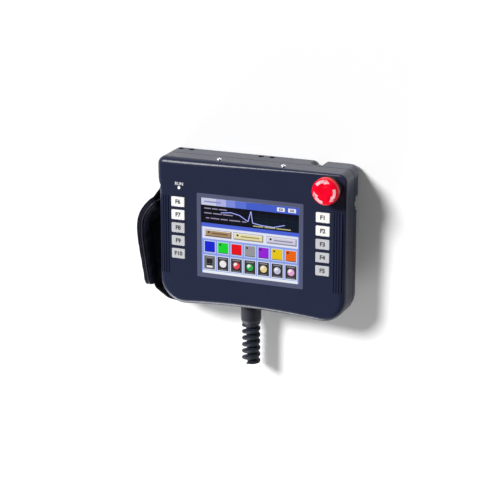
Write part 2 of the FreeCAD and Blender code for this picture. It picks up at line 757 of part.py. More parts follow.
def rear_housing():
    grip = prism(housing_outline(GRIP_HEIGHT), parting_z - GRIP_HEIGHT)
    grip = grip.makeFillet(GRIP_EDGE, edges_at(grip, GRIP_HEIGHT))
    hump = plate(hump_corners(0), 0, parting_z)
    hump = hump.makeFillet(HUMP_EDGE, edges_at(hump, 0))
    right = side_x + BEYOND
    above = top_y + BEYOND
    clear = [
        (right, above, 0),
        (slot_left_x, above, 0),
        (slot_left_x, grip_top_y, GRIP_END_CORNER),
        (side_x - GRIP_END_INSET, grip_top_y, GRIP_END_ROUND),
        (right, grip_top_y - GRIP_END_SLOPE, 0),
    ]
    grip = grip.cut(plate(clear, GRIP_HEIGHT - THROUGH, slab_z))
    outer = join([grip, hump])
    outer = outer.makeChamfer(PARTING_GROOVE, edges_at(outer, parting_z))

    inner_grip = prism(housing_outline(grip_inner_z).makeOffset2D(-WALL), parting_z - grip_inner_z + THROUGH)
    wall_side = [
        (right, above, 0),
        (slot_left_x - WALL, above, 0),
        (slot_left_x - WALL, grip_top_y - WALL, 0),
        (right, grip_top_y - WALL - GRIP_END_SLOPE, 0),
    ]
    inner_grip = inner_grip.cut(plate(wall_side, grip_inner_z - THROUGH, parting_z + 2 * THROUGH))
    inner_hump = plate(hump_corners(WALL), WALL, parting_z + THROUGH)
    cavity = inner_grip.fuse(inner_hump)
    keep_top = parting_z + 2 * THROUGH
    keep = strap_wells(0, keep_top, WALL)
    lug_width = LUG_BRIDGE + 2 * (LUG_HOLE_WIDTH + LUG_WALL)
    lug_top = LUG_FROM_REAR + LUG_HOLE_HEIGHT / 2 + LUG_WALL
    for x in lug_places:
        keep.append(block(around(x, lug_width), (top_y - LUG_DEPTH - LUG_WALL, top_y), (0, lug_top)))
    keep += posts(case_screw_places, 0, keep_top, COLUMN_RADIUS)
    keep += enable_posts()
    shell = outer.cut(cavity.cut(keep))

    past = parting_z + THROUGH
    cuts = strap_wells(grip_inner_z, past, 0)
    cuts.append(strap_notch(-THROUGH, past))
    cuts.append(side_notch())
    pin_hole_foot = grip_inner_z - PIN_SEAT + PIN_SPARE
    cuts += posts(
        (upper_pin, lower_pin), pin_hole_foot, grip_inner_z + THROUGH, PIN_RADIUS + RUNNING_FIT)
    cuts += lug_holes()
    cuts.append(gland_hole())
    cuts += posts(case_screw_places, -THROUGH, case_seat_z, COUNTERBORE)
    cuts += posts(case_screw_places, case_seat_z - THROUGH, past, SCREW_HOLE)
    cuts.append(plate(contact_window(), slab_z - THROUGH, past))
    cuts += posts(corner_screw_places, slab_z - THROUGH, past, SCREW_HOLE)
    bar = rectangle(
        enable_x, ENABLE_Y, ENABLE_WIDTH + 2 * KEY_PLAY, ENABLE_LENGTH + 2 * KEY_PLAY, ENABLE_CORNER)
    cuts.append(plate(bar, GRIP_HEIGHT - THROUGH, grip_inner_z + THROUGH))
    ring = gasket_ring(0)
    cuts.append(ring.extrude(point(0, 0, GASKET_THICKNESS + THROUGH)))
    return shell.cut(cuts)


def gasket_ring(play):
    """Flat ring that follows the wall and steps round the two strap wells."""
    face = Part.Face(housing_outline(0))
    for well in strap_wells(-THROUGH, THROUGH, 0):
        face = face.cut(well)
    edge = (WALL - GASKET_WIDTH) / 2
    outer = face.Faces[0].OuterWire.makeOffset2D(-edge - play)
    inner = face.Faces[0].OuterWire.makeOffset2D(-edge - GASKET_WIDTH + play)
    ring = Part.Face(outer).cut(Part.Face(inner))
    ring.translate(point(0, 0, parting_z - GASKET_THICKNESS))
    return ring


def housing_gasket():
    ring = gasket_ring(RUNNING_FIT / 2)
    return ring.extrude(point(0, 0, GASKET_THICKNESS)).cut(gland_hole())


def corner_block(inset, low):
    """Box of the corner housing, drawn in by inset, with the wide rounding on its outer side."""
    corners = [
        (side_x - inset, top_y - inset, TOP_CORNER - inset),
        (slot_right_x + inset, top_y - inset, CORNER_INNER_ROUND - inset),
        (slot_right_x + inset, corner_foot_y + inset, CORNER_INNER_ROUND - inset),
        (side_x - inset, corner_foot_y + inset, CORNER_FOOT_ROUND - inset),
    ]
    section = Part.Face(outline([
        (side_x - inset, low, CORNER_SIDE_ROUND - inset),
        (side_x - inset, slab_z + BEYOND, 0),
        (slot_right_x - BEYOND, slab_z + BEYOND, 0),
        (slot_right_x - BEYOND, low, 0),
    ]))
    section.rotate(point(0, 0), point(1, 0), 90)
    section.translate(point(0, top_y + BEYOND))
    rounded = section.extrude(point(0, -CORNER_HEIGHT - 2 * BEYOND, 0))
    return plate(corners, low, slab_z).common(rounded)


def corner_housing():
    shell = corner_block(0, 0)
    flat_side = side_x - CORNER_SIDE_ROUND - THROUGH
    back_edges = [edge for edge in edges_at(shell, 0) if edge.BoundBox.XMax < flat_side]
    shell = shell.makeFillet(CORNER_EDGE, back_edges)
    columns = posts(corner_screw_places, 0, slab_z, COLUMN_RADIUS)
    shell = shell.cut(corner_block(CORNER_WALL, CORNER_WALL).cut(columns))
    cuts = posts(corner_screw_places, -THROUGH, corner_seat_z, COUNTERBORE)
    cuts += posts(corner_screw_places, corner_seat_z - THROUGH, slab_z + THROUGH, SCREW_HOLE)
    return shell.cut(cuts)


def corner_screws():
    shank = CORNER_SEAT_DROP + SLAB_THICKNESS
    return [screw(place, corner_seat_z, shank) for place in corner_screw_places]


def case_screws():
    return [screw(place, case_seat_z, CASE_SCREW_LENGTH) for place in case_screw_places]


def top_screws():
    """Two bright pan-head screws in the top wall."""
    screws = []
    for x in TOP_SCREW_X:
        one = screw((0, 0), 0, TOP_SCREW_LENGTH)
        one.rotate(point(0, 0), point(1, 0, 0), 90)
        one.translate(point(x, top_y, front_z - TOP_SCREW_DEPTH))
        screws.append(one)
    return screws


def window_frame():
    ring = plate(rectangle(0, 0, 2 * window_x, 2 * window_y, WINDOW_CORNER), panel_z, front_z)
    hole = rectangle(0, 0, SCREEN_WIDTH, SCREEN_HEIGHT, SCREEN_CORNER)
    ring = ring.cut(plate(hole, panel_z - THROUGH, front_z + THROUGH))
    inner = []
    for edge in edges_at(ring, front_z):
        middle = edge.BoundBox.Center
        within = abs(middle.x) <= SCREEN_WIDTH / 2 + SAME and abs(middle.y) <= SCREEN_HEIGHT / 2 + SAME
        if within and edge.Length > WINDOW_MARGIN:
            inner.append(edge)
    return ring.makeChamfer(FRAME_BEVEL, inner)


def touch_panel():
    corners = rectangle(0, 0, 2 * window_x, 2 * window_y, WINDOW_CORNER)
    return plate(corners, panel_z - PANEL_THICKNESS, panel_z)


def display_module():
    body = plate(rectangle(0, 0, 2 * lcd_half_x, 2 * lcd_half_y, LCD_CORNER), lcd_back_z, rim_z)
    ears = []
    for x, y in ear_places:
        reach = around(y, EAR_REACH + 2 * WELD)
        ears.append(block(around(x, EAR_WIDTH), reach, (rim_z - EAR_THICKNESS, rim_z)))
    holes = posts(ear_places, rim_z - EAR_THICKNESS - THROUGH, rim_z + THROUGH, SCREW_HOLE)
    return join([body] + ears).cut(holes)


def display_screws():
    return [screw(place, rim_z - EAR_THICKNESS, EAR_SCREW_LENGTH) for place in ear_places]


def main_board():
    corners = rectangle(0, 0, 2 * board_half_x, 2 * board_half_y, BOARD_CORNER)
    sheet = plate(corners, board_z, board_z + BOARD_THICKNESS)
    return sheet.cut(posts(spacer_places, board_z - THROUGH, board_z + BOARD_THICKNESS + THROUGH, SCREW_HOLE))


def board_spacers():
    low = board_z + BOARD_THICKNESS
    spacers = []
    for place in spacer_places:
        spacer = prism(hexagon(place, SPACER_RADIUS, low), SPACER_LENGTH)
        spacers.append(spacer.cut(post(place, low - THROUGH, lcd_back_z + THROUGH, SCREW_HOLE)))
    return spacers


def board_screws():
    shank = BOARD_THICKNESS + SPACER_LENGTH - LOOSE_FIT
    return [screw(place, board_z, shank) for place in spacer_places]


def cable_header():
    """Shrouded connector on the main board where the cable's wires plug in."""
    y = -board_half_y + HEADER_FOOT_RISE
    low = board_z - HEADER_HEIGHT
    shroud = block(around(BOOT_X, HEADER_LENGTH), around(y, HEADER_WIDTH), (low, board_z))
    pocket = block(
        around(BOOT_X, HEADER_LENGTH - 2 * HEADER_WALL),
        around(y, HEADER_WIDTH - 2 * HEADER_WALL),
        (low - THROUGH, board_z - HEADER_FLOOR))
    return shroud.cut(pocket)


def buzzer():
    low = board_z - BUZZER_HEIGHT
    case = post(BUZZER_PLACE, low, board_z, BUZZER_RADIUS)
    case = case.makeFillet(BUZZER_EDGE, edges_at(case, low))
    return case.cut(post(BUZZER_PLACE, low - THROUGH, low + BUZZER_PORT_DEPTH, BUZZER_PORT_RADIUS))


def backup_cell():
    low = board_z - CELL_HEIGHT
    profile = [(0, low, 0), (CELL_RADIUS, low, CELL_EDGE), (CELL_RADIUS, board_z, 0), (0, board_z, 0)]
    return revolved(profile, CELL_PLACE)


def key(x, y):
    """Cap through the front wall, a flange behind it and a stem into the switch."""
    top = front_z + KEY_PROUD
    cap = plate(rectangle(x, y, KEY_WIDTH, KEY_HEIGHT, KEY_CORNER), inner_front_z - WELD, top)
    cap = cap.makeChamfer(KEY_CHAMFER, edges_at(cap, top))
    flange_low = inner_front_z - KEY_FLANGE
    lip = 2 * KEY_FLANGE_LIP
    flange = plate(rectangle(x, y, KEY_WIDTH + lip, KEY_HEIGHT + lip, KEY_CORNER), flange_low, inner_front_z)
    stem = post((x, y), switch_top_z - STEM_OVERLAP, flange_low + WELD, KEY_STEM)
    return join([cap, flange, stem])


def key_switches(side):
    bodies = []
    well_floor = switch_top_z - STEM_OVERLAP - KEY_TRAVEL - STEM_SPARE
    for number, x, y in key_places():
        if x * side > 0:
            body = plate(
                rectangle(x, y, SWITCH_SIZE, SWITCH_SIZE, SWITCH_CORNER), key_board_top_z, switch_top_z)
            well = post((x, y), well_floor, switch_top_z + THROUGH, KEY_STEM + LOOSE_FIT)
            bodies.append(body.cut(well))
    return bodies


def key_board(side):
    middle_y = (key_board_top_y + key_board_foot_y) / 2
    height = key_board_top_y - key_board_foot_y
    corners = rectangle(side * key_x, middle_y, KEY_BOARD_WIDTH, height, BOARD_CORNER)
    sheet = plate(corners, key_board_z, key_board_top_z)
    return sheet.cut(posts(key_boss_places, key_board_z - THROUGH, key_board_top_z + THROUGH, SCREW_HOLE))


def key_board_screws():
    return [screw(place, key_board_z, KEY_SCREW_LENGTH) for place in key_boss_places]


def run_lamp():
    top = front_z + LAMP_PROUD
    low = key_board_top_z
    profile = [(0, low, 0), (LAMP_RADIUS, low, 0), (LAMP_RADIUS, top, LAMP_DOME), (0, top, 0)]
    return revolved(profile, lamp_place)


def estop_head():
    """Mushroom with a dished top; three finger scallops and a blind bore for the shaft."""
    place = (estop_x, estop_y)
    head = revolved([
        (0, head_top - HEAD_DISH, 0),
        (HEAD_CREST, head_top, HEAD_CREST_ROUND),
        (HEAD_RADIUS - HEAD_DRAFT, head_top - HEAD_SHOULDER_DROP, HEAD_SHOULDER_ROUND),
        (HEAD_RADIUS, head_low + HEAD_SKIRT, HEAD_SKIRT_ROUND),
        (HEAD_RADIUS - HEAD_LIP, head_low, HEAD_LIP_ROUND),
        (HUB_RADIUS, head_low, HUB_ROUND),
        (HUB_RADIUS, hub_low, 0),
        (0, hub_low, 0),
    ], place)
    cuts = [post(place, hub_low - THROUGH, shaft_top + LOOSE_FIT, SHAFT_RADIUS + RUNNING_FIT)]
    for step in range(SCALLOPS):
        turn = math.pi / 2 + 2 * math.pi * step / SCALLOPS
        bowl = Part.makeSphere(SCALLOP_RADIUS)
        bowl.translate(point(
            estop_x + SCALLOP_REACH * math.cos(turn),
            estop_y + SCALLOP_REACH * math.sin(turn),
            head_top + SCALLOP_RADIUS - SCALLOP_DEPTH))
        cuts.append(bowl)
    return head.cut(cuts)


def estop_shaft():
    flange = spring_bore - LOOSE_FIT
    return revolved([
        (0, shaft_foot, 0),
        (SHAFT_RADIUS, shaft_foot, SHAFT_EDGE),
        (SHAFT_RADIUS, spring_top, 0),
        (flange, spring_top, 0),
        (flange, flange_top, 0),
        (SHAFT_RADIUS, flange_top, 0),
        (SHAFT_RADIUS, shaft_top, SHAFT_EDGE),
        (0, shaft_top, 0),
    ], (estop_x, estop_y))


def estop_barrel():
    """Threaded sleeve with a sloped collar on the panel and a cup that the head's hub drops into."""
    bore = SHAFT_RADIUS + RUNNING_FIT
    cup = HUB_RADIUS + CUP_PLAY
    cup_floor = hub_low - ESTOP_TRAVEL - STOP_SPARE
    return revolved([
        (bore, flange_top, 0),
        (spring_bore, flange_top, 0),
        (spring_bore, barrel_foot, 0),
        (BARREL_RADIUS, barrel_foot, BARREL_EDGE),
        (BARREL_RADIUS, collar_z, 0),
        (collar_radius, collar_z, COLLAR_FOOT_ROUND),
        (collar_radius - COLLAR_SLOPE, collar_top, COLLAR_TOP_ROUND),
        (cup, collar_top, CUP_ROUND),
        (cup, cup_floor, 0),
        (bore, cup_floor, 0),
    ], (estop_x, estop_y))


def estop_gasket():
    place = (estop_x, estop_y)
    disc = post(place, front_z, collar_z, collar_radius - LOOSE_FIT)
    return disc.cut(post(place, front_z - THROUGH, collar_z + THROUGH, barrel_hole))


def estop_ring_nut():
    place = (estop_x, estop_y)
    low = inner_front_z - NUT_HEIGHT
    nut = post(place, low, inner_front_z, nut_radius)
    cuts = [post(place, low - THROUGH, front_z, barrel_hole)]
    for step in range(NUT_NOTCHES):
        notch = block(
            around(0, NUT_NOTCH_WIDTH),
            (nut_radius - NUT_NOTCH_DEPTH, nut_radius + THROUGH),
            (low - THROUGH, inner_front_z + THROUGH))
        notch.rotate(point(0, 0), point(0, 0, 1), step * 360 / NUT_NOTCHES)
        notch.translate(point(estop_x, estop_y))
        cuts.append(notch)
    return nut.cut(cuts)


def estop_spring():
    """Return spring of square wire between the contact block and the shaft's flange."""
    mean = (SHAFT_RADIUS + spring_bore) / 2
    half = SPRING_WIRE / 2
    rise = SPRING_LENGTH - SPRING_WIRE - 2 * SPRING_END_GAP
    coil = Part.makeHelix(rise / SPRING_TURNS, rise, mean)
    square = ((-1, -1), (1, -1), (1, 1), (-1, 1), (-1, -1))
    section = Part.makePolygon([point(mean + half * out, 0, half * up) for out, up in square])
    wire = Part.Wire(coil.Edges).makePipeShell([section], True, True)
    wire.translate(point(estop_x, estop_y, barrel_foot + half + SPRING_END_GAP))
    return wire


def estop_contacts():
    """Contact block on the barrel's foot, with four terminal pockets in its rear corners."""
    low = barrel_foot - CONTACT_HEIGHT
    body = plate(rectangle(estop_x, estop_y, CONTACT_SIZE, CONTACT_SIZE, CONTACT_CORNER), low, barrel_foot)
    pockets = []
    for right, up in quarters:
        rim_x = estop_x + right * CONTACT_SIZE / 2
        reach = sorted((rim_x - right * TERMINAL_DEPTH, rim_x + right * THROUGH))
        across = around(estop_y + up * TERMINAL_PITCH / 2, TERMINAL_WIDTH)
        pockets.append(block(reach, across, (low - THROUGH, low + TERMINAL_HEIGHT)))
    return body.cut(pockets)


def enable_bar():
    """Rounded bar that the fingers squeeze, kept in by a flange."""
    low = GRIP_HEIGHT - ENABLE_PROUD
    bar = plate(
        rectangle(enable_x, ENABLE_Y, ENABLE_WIDTH, ENABLE_LENGTH, ENABLE_CORNER), low, grip_inner_z + WELD)
    bar = bar.makeFillet(ENABLE_EDGE, edges_at(bar, low))
    lip = 2 * ENABLE_FLANGE_LIP
    flange = plate(
        rectangle(enable_x, ENABLE_Y, ENABLE_WIDTH + lip, ENABLE_LENGTH + lip, ENABLE_CORNER),
        grip_inner_z, grip_inner_z + ENABLE_FLANGE)
    stem = post((enable_x, ENABLE_Y), grip_inner_z + WELD, enable_body_z + ENABLE_STEM_SEAT, ENABLE_STEM)
    return join([bar, flange, stem])


def enable_switch():
    length = ENABLE_LENGTH + 2 * ENABLE_BODY_END
    corners = rectangle(enable_x, ENABLE_Y, ENABLE_BODY_WIDTH, length, BOARD_CORNER)
    body = plate(corners, enable_body_z, enable_body_z + ENABLE_BODY_HEIGHT)
    well_top = enable_body_z + ENABLE_STEM_SEAT + ENABLE_TRAVEL + STEM_SPARE
    well = post((enable_x, ENABLE_Y), enable_body_z - THROUGH, well_top, ENABLE_STEM + LOOSE_FIT)
    return body.cut(well)


def ribbon(corners, thickness, low, high):
    """Band of even thickness whose one face follows the path; it grows to the path's left."""
    path = Part.Wire(path_edges(corners, low, False))
    face = path.makeOffset2D(-thickness, 0, True, True)
    return Part.Face(face.Wires[0]).extrude(point(0, 0, high - low))


def pad_path():
    """Outer line of the padded part, from its upper end round the bulge to its lower end."""
    top = upper_pin[1]
    foot = lower_pin[1]
    return [
        (-side_x - PAD_HEAD_OUT, top - PAD_HEAD_DROP, 0),
        (-side_x - PAD_SHOULDER_OUT, top - PAD_SHOULDER_DROP, PAD_SHOULDER_ROUND),
        (-side_x - PAD_FLANK_OUT, top - PAD_FLANK_DROP, PAD_FLANK_ROUND),
        (-side_x - PAD_FOOT_OUT, foot + PAD_FOOT_RISE, 0),
    ]


def strap_pad():
    return ribbon(pad_path(), PAD_THICKNESS, pad_top_z - PAD_WIDTH, pad_top_z)


def pad_end(corner, neighbour, depth):
    """Start of a tail at a depth in the pad's end face, and a place further out in line with the pad."""
    along = point(corner[0] - neighbour[0], corner[1] - neighbour[1]).normalize()
    inward = point(-along.y, along.x)
    if inward.x < 0:
        inward = inward * -1
    start = point(corner[0], corner[1]) + inward * depth
    return start, start + along * TAIL_RUN


def strap_tail(corners, pin):
    """Webbing along the path that ends in a loop round its pin."""
    band = ribbon(corners, STRAP_THICKNESS, strap_low_z, strap_top_z)
    loop = post(pin, strap_low_z, strap_top_z, loop_outer)
    hole = post(pin, strap_low_z - THROUGH, strap_top_z + THROUGH, loop_inner)
    return loop.fuse(band).removeSplitter().cut(hole)


def strap_upper_tail():
    path = pad_path()
    end, bend = pad_end(path[0], path[1], PAD_SKIN)
    return strap_tail([
        (upper_pin[0] - loop_outer, upper_pin[1], 0),
        (-side_x - TAIL_MOUTH_OUT, upper_pin[1] - TAIL_MOUTH_DROP, TAIL_MOUTH_BEND),
        (bend.x, bend.y, TAIL_BEND),
        (end.x, end.y, 0),
    ], upper_pin)


def strap_lower_tail():
    """Webbing from the pad's inner side, round the housing's lower corner and up into its well."""
    path = pad_path()
    end, bend = pad_end(path[-1], path[-2], PAD_THICKNESS - STRAP_THICKNESS - PAD_SKIN)
    heel_x = lower_pin[0] - loop_inner
    return strap_tail([
        (end.x, end.y, 0),
        (bend.x, bend.y, ELBOW_BEND),
        (-side_x + KNEE_INSET, lower_pin[1] - KNEE_DROP, KNEE_BEND),
        (heel_x, lower_pin[1] - HEEL_DROP, HEEL_BEND),
        (heel_x, lower_pin[1], 0),
    ], lower_pin)


def strap_pins():
    low = grip_inner_z - PIN_SEAT + 2 * PIN_SPARE
    return posts((upper_pin, lower_pin), low, pocket_top_z + PIN_SEAT, PIN_RADIUS)


def hang_from_foot(shape):
    """Turn a piece built about the vertical axis so that it hangs from the foot wall."""
    shape.rotate(point(0, 0), point(1, 0, 0), 90)
    shape.translate(point(BOOT_X, foot_y + FOOT_ARCH - BOOT_SEAT_GAP, parting_z))
    return shape


def strain_relief():
    """Moulded boot: smooth collar, cone and a round-edged helical fin on a core that tapers to the tip."""
    cone_end = BOOT_COLLAR_LENGTH + BOOT_CONE_LENGTH
    neck_end = gland_seat - GLAND_NUT_HEIGHT - NECK_PAST_NUT
    body = revolved([
        (BOOT_BORE_RADIUS, neck_end, 0),
        (BOOT_NECK_RADIUS, neck_end, BOOT_EDGE),
        (BOOT_NECK_RADIUS, 0, 0),
        (BOOT_COLLAR_RADIUS, 0, BOOT_EDGE),
        (BOOT_COLLAR_RADIUS, BOOT_COLLAR_LENGTH, BOOT_COLLAR_ROUND),
        (BOOT_FIN_RADIUS - BOOT_CONE_STEP, cone_end, BOOT_CONE_EDGE),
        (BOOT_CORE_RADIUS, cone_end + BOOT_CONE_STEP, 0),
        (BOOT_CORE_RADIUS - BOOT_TAPER, BOOT_LENGTH, 0),
        (BOOT_BORE_RADIUS, BOOT_LENGTH, 0),
    ], (0, 0))
    fin_length = BOOT_LENGTH - cone_end
    pitch = fin_length / BOOT_TURNS
    slope = BOOT_TAPER / fin_length
    lead_in = BOOT_CONE_LENGTH + pitch / 2
    start = cone_end - lead_in
    root = BOOT_CORE_RADIUS - FIN_SINK + slope * lead_in
    shoulder = BOOT_FIN_RADIUS - FIN_TIP / 2 + slope * lead_in
    path = Part.makeHelix(
        pitch, fin_length + BOOT_RUN_OUT * pitch, root, -math.degrees(math.atan(slope)))
    path.translate(point(0, 0, start))
    feet = [point(root, 0, start + side * FIN_ROOT / 2) for side in sides]
    shoulders = [point(shoulder, 0, start + side * FIN_TIP / 2) for side in sides]
    crest = point(shoulder + FIN_TIP / 2, 0, start)
    section = Part.Wire([
        Part.makeLine(feet[0], shoulders[0]),
        Part.Arc(shoulders[0], crest, shoulders[1]).toShape(),
        Part.makeLine(shoulders[1], feet[1]),
        Part.makeLine(feet[1], feet[0]),
    ])
    fin = Part.Wire(path.Edges).makePipeShell([section], True, True)
    reach = post((0, 0), BOOT_COLLAR_LENGTH + THROUGH, BOOT_LENGTH, BOOT_COLLAR_RADIUS)
    return hang_from_foot(body.fuse(fin.common(reach)))


def gland_nut():
    """Hexagon lock nut inside the foot wall."""
    nut = prism(hexagon((0, 0), BOOT_NECK_RADIUS + GLAND_NUT_WALL, gland_seat), -GLAND_NUT_HEIGHT)
    bore = post((0, 0), gland_seat - GLAND_NUT_HEIGHT - THROUGH, gland_seat + THROUGH,
                BOOT_NECK_RADIUS + RUNNING_FIT)
    return hang_from_foot(nut.cut(bore))


def export(name, shapes):
    shape = shapes
    if isinstance(shapes, list):
        shape = Part.makeCompound(shapes)
    if not shape.isValid():
        print("not valid:", name)
    shape.exportStep("parts/" + name + ".step")
    print(name, len(shape.Solids), round(sum(solid.Volume for solid in shape.Solids), 1))


os.makedirs("parts", exist_ok=True)
export("front_housing", front_housing())
export("rear_housing", rear_housing())
export("housing_gasket", housing_gasket())
export("corner_housing", corner_housing())
export("corner_screws", corner_screws())
export("case_screws", case_screws())
export("top_screws", top_screws())
export("window_frame", window_frame())
export("touch_panel", touch_panel())
export("display_module", display_module())
export("display_screws", display_screws())
export("main_board", main_board())
export("board_spacers", board_spacers())
export("board_screws", board_screws())
export("cable_header", cable_header())
export("buzzer", buzzer())
export("backup_cell", backup_cell())
for number, x, y in key_places():
    export("key_f" + str(number), key(x, y))
export("key_switches_right", key_switches(1))
export("key_switches_left", key_switches(-1))
export("key_board_right", key_board(1))
export("key_board_left", key_board(-1))
export("key_board_screws", key_board_screws())
export("run_lamp", run_lamp())
export("estop_head", estop_head())
export("estop_shaft", estop_shaft())
export("estop_spring", estop_spring())
export("estop_barrel", estop_barrel())
export("estop_gasket", estop_gasket())
export("estop_ring_nut", estop_ring_nut())
export("estop_contacts", estop_contacts())
export("enable_bar", enable_bar())
export("enable_switch", enable_switch())
export("strap_pad", strap_pad())
export("strap_upper_tail", strap_upper_tail())
export("strap_lower_tail", strap_lower_tail())
export("strap_pins", strap_pins())
export("strain_relief", strain_relief())
export("gland_nut", gland_nut())
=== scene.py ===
import math
import bmesh
import bpy
from mathutils import Matrix, Vector
from mathutils.bvhtree import BVHTree


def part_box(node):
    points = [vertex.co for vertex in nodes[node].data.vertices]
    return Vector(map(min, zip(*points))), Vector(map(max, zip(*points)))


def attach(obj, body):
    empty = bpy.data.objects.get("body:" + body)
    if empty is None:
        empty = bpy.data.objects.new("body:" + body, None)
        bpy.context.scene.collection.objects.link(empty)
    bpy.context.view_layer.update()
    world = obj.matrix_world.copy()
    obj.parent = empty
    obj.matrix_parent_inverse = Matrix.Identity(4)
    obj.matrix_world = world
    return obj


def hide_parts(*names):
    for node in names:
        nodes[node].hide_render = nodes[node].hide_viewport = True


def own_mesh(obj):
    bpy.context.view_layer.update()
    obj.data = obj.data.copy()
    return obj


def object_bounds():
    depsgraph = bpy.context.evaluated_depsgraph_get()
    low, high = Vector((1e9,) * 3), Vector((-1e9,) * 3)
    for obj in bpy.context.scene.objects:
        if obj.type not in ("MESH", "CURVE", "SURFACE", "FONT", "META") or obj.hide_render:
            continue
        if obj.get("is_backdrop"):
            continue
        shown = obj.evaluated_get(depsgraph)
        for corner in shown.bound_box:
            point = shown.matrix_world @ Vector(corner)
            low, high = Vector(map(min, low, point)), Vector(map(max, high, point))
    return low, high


# The terminal lies on its back: +X is its right, +Y its top edge and +Z the way the screen looks.
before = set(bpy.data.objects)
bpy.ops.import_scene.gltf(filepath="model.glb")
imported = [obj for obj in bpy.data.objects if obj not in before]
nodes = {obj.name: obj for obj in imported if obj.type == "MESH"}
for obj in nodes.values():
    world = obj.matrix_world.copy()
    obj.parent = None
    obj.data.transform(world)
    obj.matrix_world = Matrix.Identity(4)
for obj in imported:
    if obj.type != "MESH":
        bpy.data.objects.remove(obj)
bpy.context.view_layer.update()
MM = 0.001


# Front half, rear half and corner box of the housing.
# Injection-moulded ABS in a dark navy grey, with the fine matt grain of a spark-eroded mould.
# The halves meet on a grooved parting line and are screwed together from behind.
TONE_DRIFT = 28 * MM
GRAIN_SPREAD = 0.08


def linear(hex_colour):
    """sRGB hex colour as linear red, green, blue and alpha."""
    channels = [int(hex_colour[start:start + 2], 16) / 255 for start in (1, 3, 5)]
    return tuple(c / 12.92 if c <= 0.04045 else ((c + 0.055) / 1.055) ** 2.4 for c in channels) + (1.0,)


def add(tree, kind, links, **settings):
    """One shader node with its settings; each link is a value for an input, or a socket that feeds it."""
    made = tree.nodes.new(kind)
    for name, value in settings.items():
        setattr(made, name, value)
    for name, value in links.items():
        if isinstance(value, bpy.types.NodeSocket):
            tree.links.new(value, made.inputs[name])
        else:
            made.inputs[name].default_value = value
    return made


def start_material(name, values):
    """New material: its node tree, its shader with plain values on the sockets, and Object coordinates."""
    material = bpy.data.materials.new(name)
    material.use_nodes = True
    tree = material.node_tree
    shader = tree.nodes["Principled BSDF"]
    for socket, value in values.items():
        shader.inputs[socket].default_value = value
    place = add(tree, "ShaderNodeTexCoord", {})
    return material, tree, shader, place.outputs["Object"]


def moulded(name, dark, light, roughness, grain, depth, values):
    """Moulded plastic or rubber: two close tones that drift, and a grain that breaks the highlight up."""
    material, tree, shader, place = start_material(name, values)
    drift = add(tree, "ShaderNodeTexNoise", {"Vector": place, "Scale": 1 / TONE_DRIFT, "Detail": 3.0})
    tone = add(tree, "ShaderNodeMixRGB",
               {"Fac": drift.outputs["Fac"], "Color1": linear(dark), "Color2": linear(light)})
    tree.links.new(tone.outputs["Color"], shader.inputs["Base Color"])
    speck = add(tree, "ShaderNodeTexNoise", {"Vector": place, "Scale": 1 / grain, "Detail": 2.0})
    spread = add(tree, "ShaderNodeMapRange", {
        "Value": speck.outputs["Fac"], "To Min": roughness - GRAIN_SPREAD, "To Max": roughness + GRAIN_SPREAD,
    })
    tree.links.new(spread.outputs["Result"], shader.inputs["Roughness"])
    bump = add(tree, "ShaderNodeBump", {"Height": speck.outputs["Fac"], "Distance": depth, "Strength": 0.6})
    tree.links.new(bump.outputs["Normal"], shader.inputs["Normal"])
    return material


def finish_nodes(material, *names):
    """Give CAD nodes, whose shape is right as it is, their material."""
    for name in names:
        nodes[name].data.materials.clear()
        nodes[name].data.materials.append(material)


# The grain is about 0.3 mm on the real mould and is drawn at 0.9 mm so that it shows.
housing_abs = moulded(
    "navy_moulded_abs", "#1f253c", "#242a42", 0.3, 0.9 * MM, 0.05 * MM, {"Specular IOR Level": 0.3})
finish_nodes(housing_abs, "front_housing", "rear_housing", "corner_housing")

# Seals between the halves and under the emergency stop.
# Die-cut black rubber sheet, dull all over, pinched between the faces that it seals.
seal_rubber = moulded(
    "die_cut_seal_rubber", "#141414", "#1b1b1c", 0.75, 0.6 * MM, 0.04 * MM, {"Specular IOR Level": 0.3})
finish_nodes(seal_rubber, "housing_gasket", "estop_gasket")

# Screws of the housing: six through the rear half, two in the corner box, two bright ones in the top wall.
# Cold-headed pan heads with a cross recess and a rolled thread, zinc plated inside and nickel plated on top.
WELD = 0.001 * MM
SCREW_HEAD_HEIGHT = 2.0 * MM
SCREW_STEM_SHARE = 1.45 / 2.75
THREAD_PITCH = 1.0 * MM
THREAD_DEPTH = 0.2 * MM
# The pan head as shares of its radius and height, from the middle of its crown to its seat.
HEAD_PROFILE = ((0, 1), (0.55, 1), (0.84, 0.82), (1, 0.45), (1, 0))
RECESS_DEPTH = 1.1 * MM
RECESS_LENGTH = 1.15
RECESS_WIDTH = 0.3
RECESS_TAPER = 0.55
TOOL_LINE = 1.2 * MM
TOOL_LINE_STRETCH = (1.0, 1.0, 9.0)
TOOL_SPREAD = 0.1


def finished_mesh(bm, name, crease=35):
    """Mesh of a bmesh, with its faces outward and shaded smooth up to the crease angle."""
    bmesh.ops.recalc_face_normals(bm, faces=bm.faces[:])
    mesh = bpy.data.meshes.new(name)
    bm.to_mesh(mesh)
    bm.free()
    mesh.shade_smooth()
    mesh.set_sharp_from_angle(angle=math.radians(crease))
    return mesh


def add_piece(name, mesh, body, slot, *finishes):
    """New piece with its materials and the body that it moves with; the slot argument is not used."""
    made = bpy.data.objects.new(name, mesh)
    bpy.context.scene.collection.objects.link(made)
    for finish in finishes:
        mesh.materials.append(finish)
    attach(made, body)
    return made


def baked(holder):
    """Mesh of an object with its modifiers or its curve worked out; the object itself goes."""
    bpy.context.view_layer.update()
    graph = bpy.context.evaluated_depsgraph_get()
    mesh = bpy.data.meshes.new_from_object(holder.evaluated_get(graph))
    bpy.data.objects.remove(holder)
    return mesh


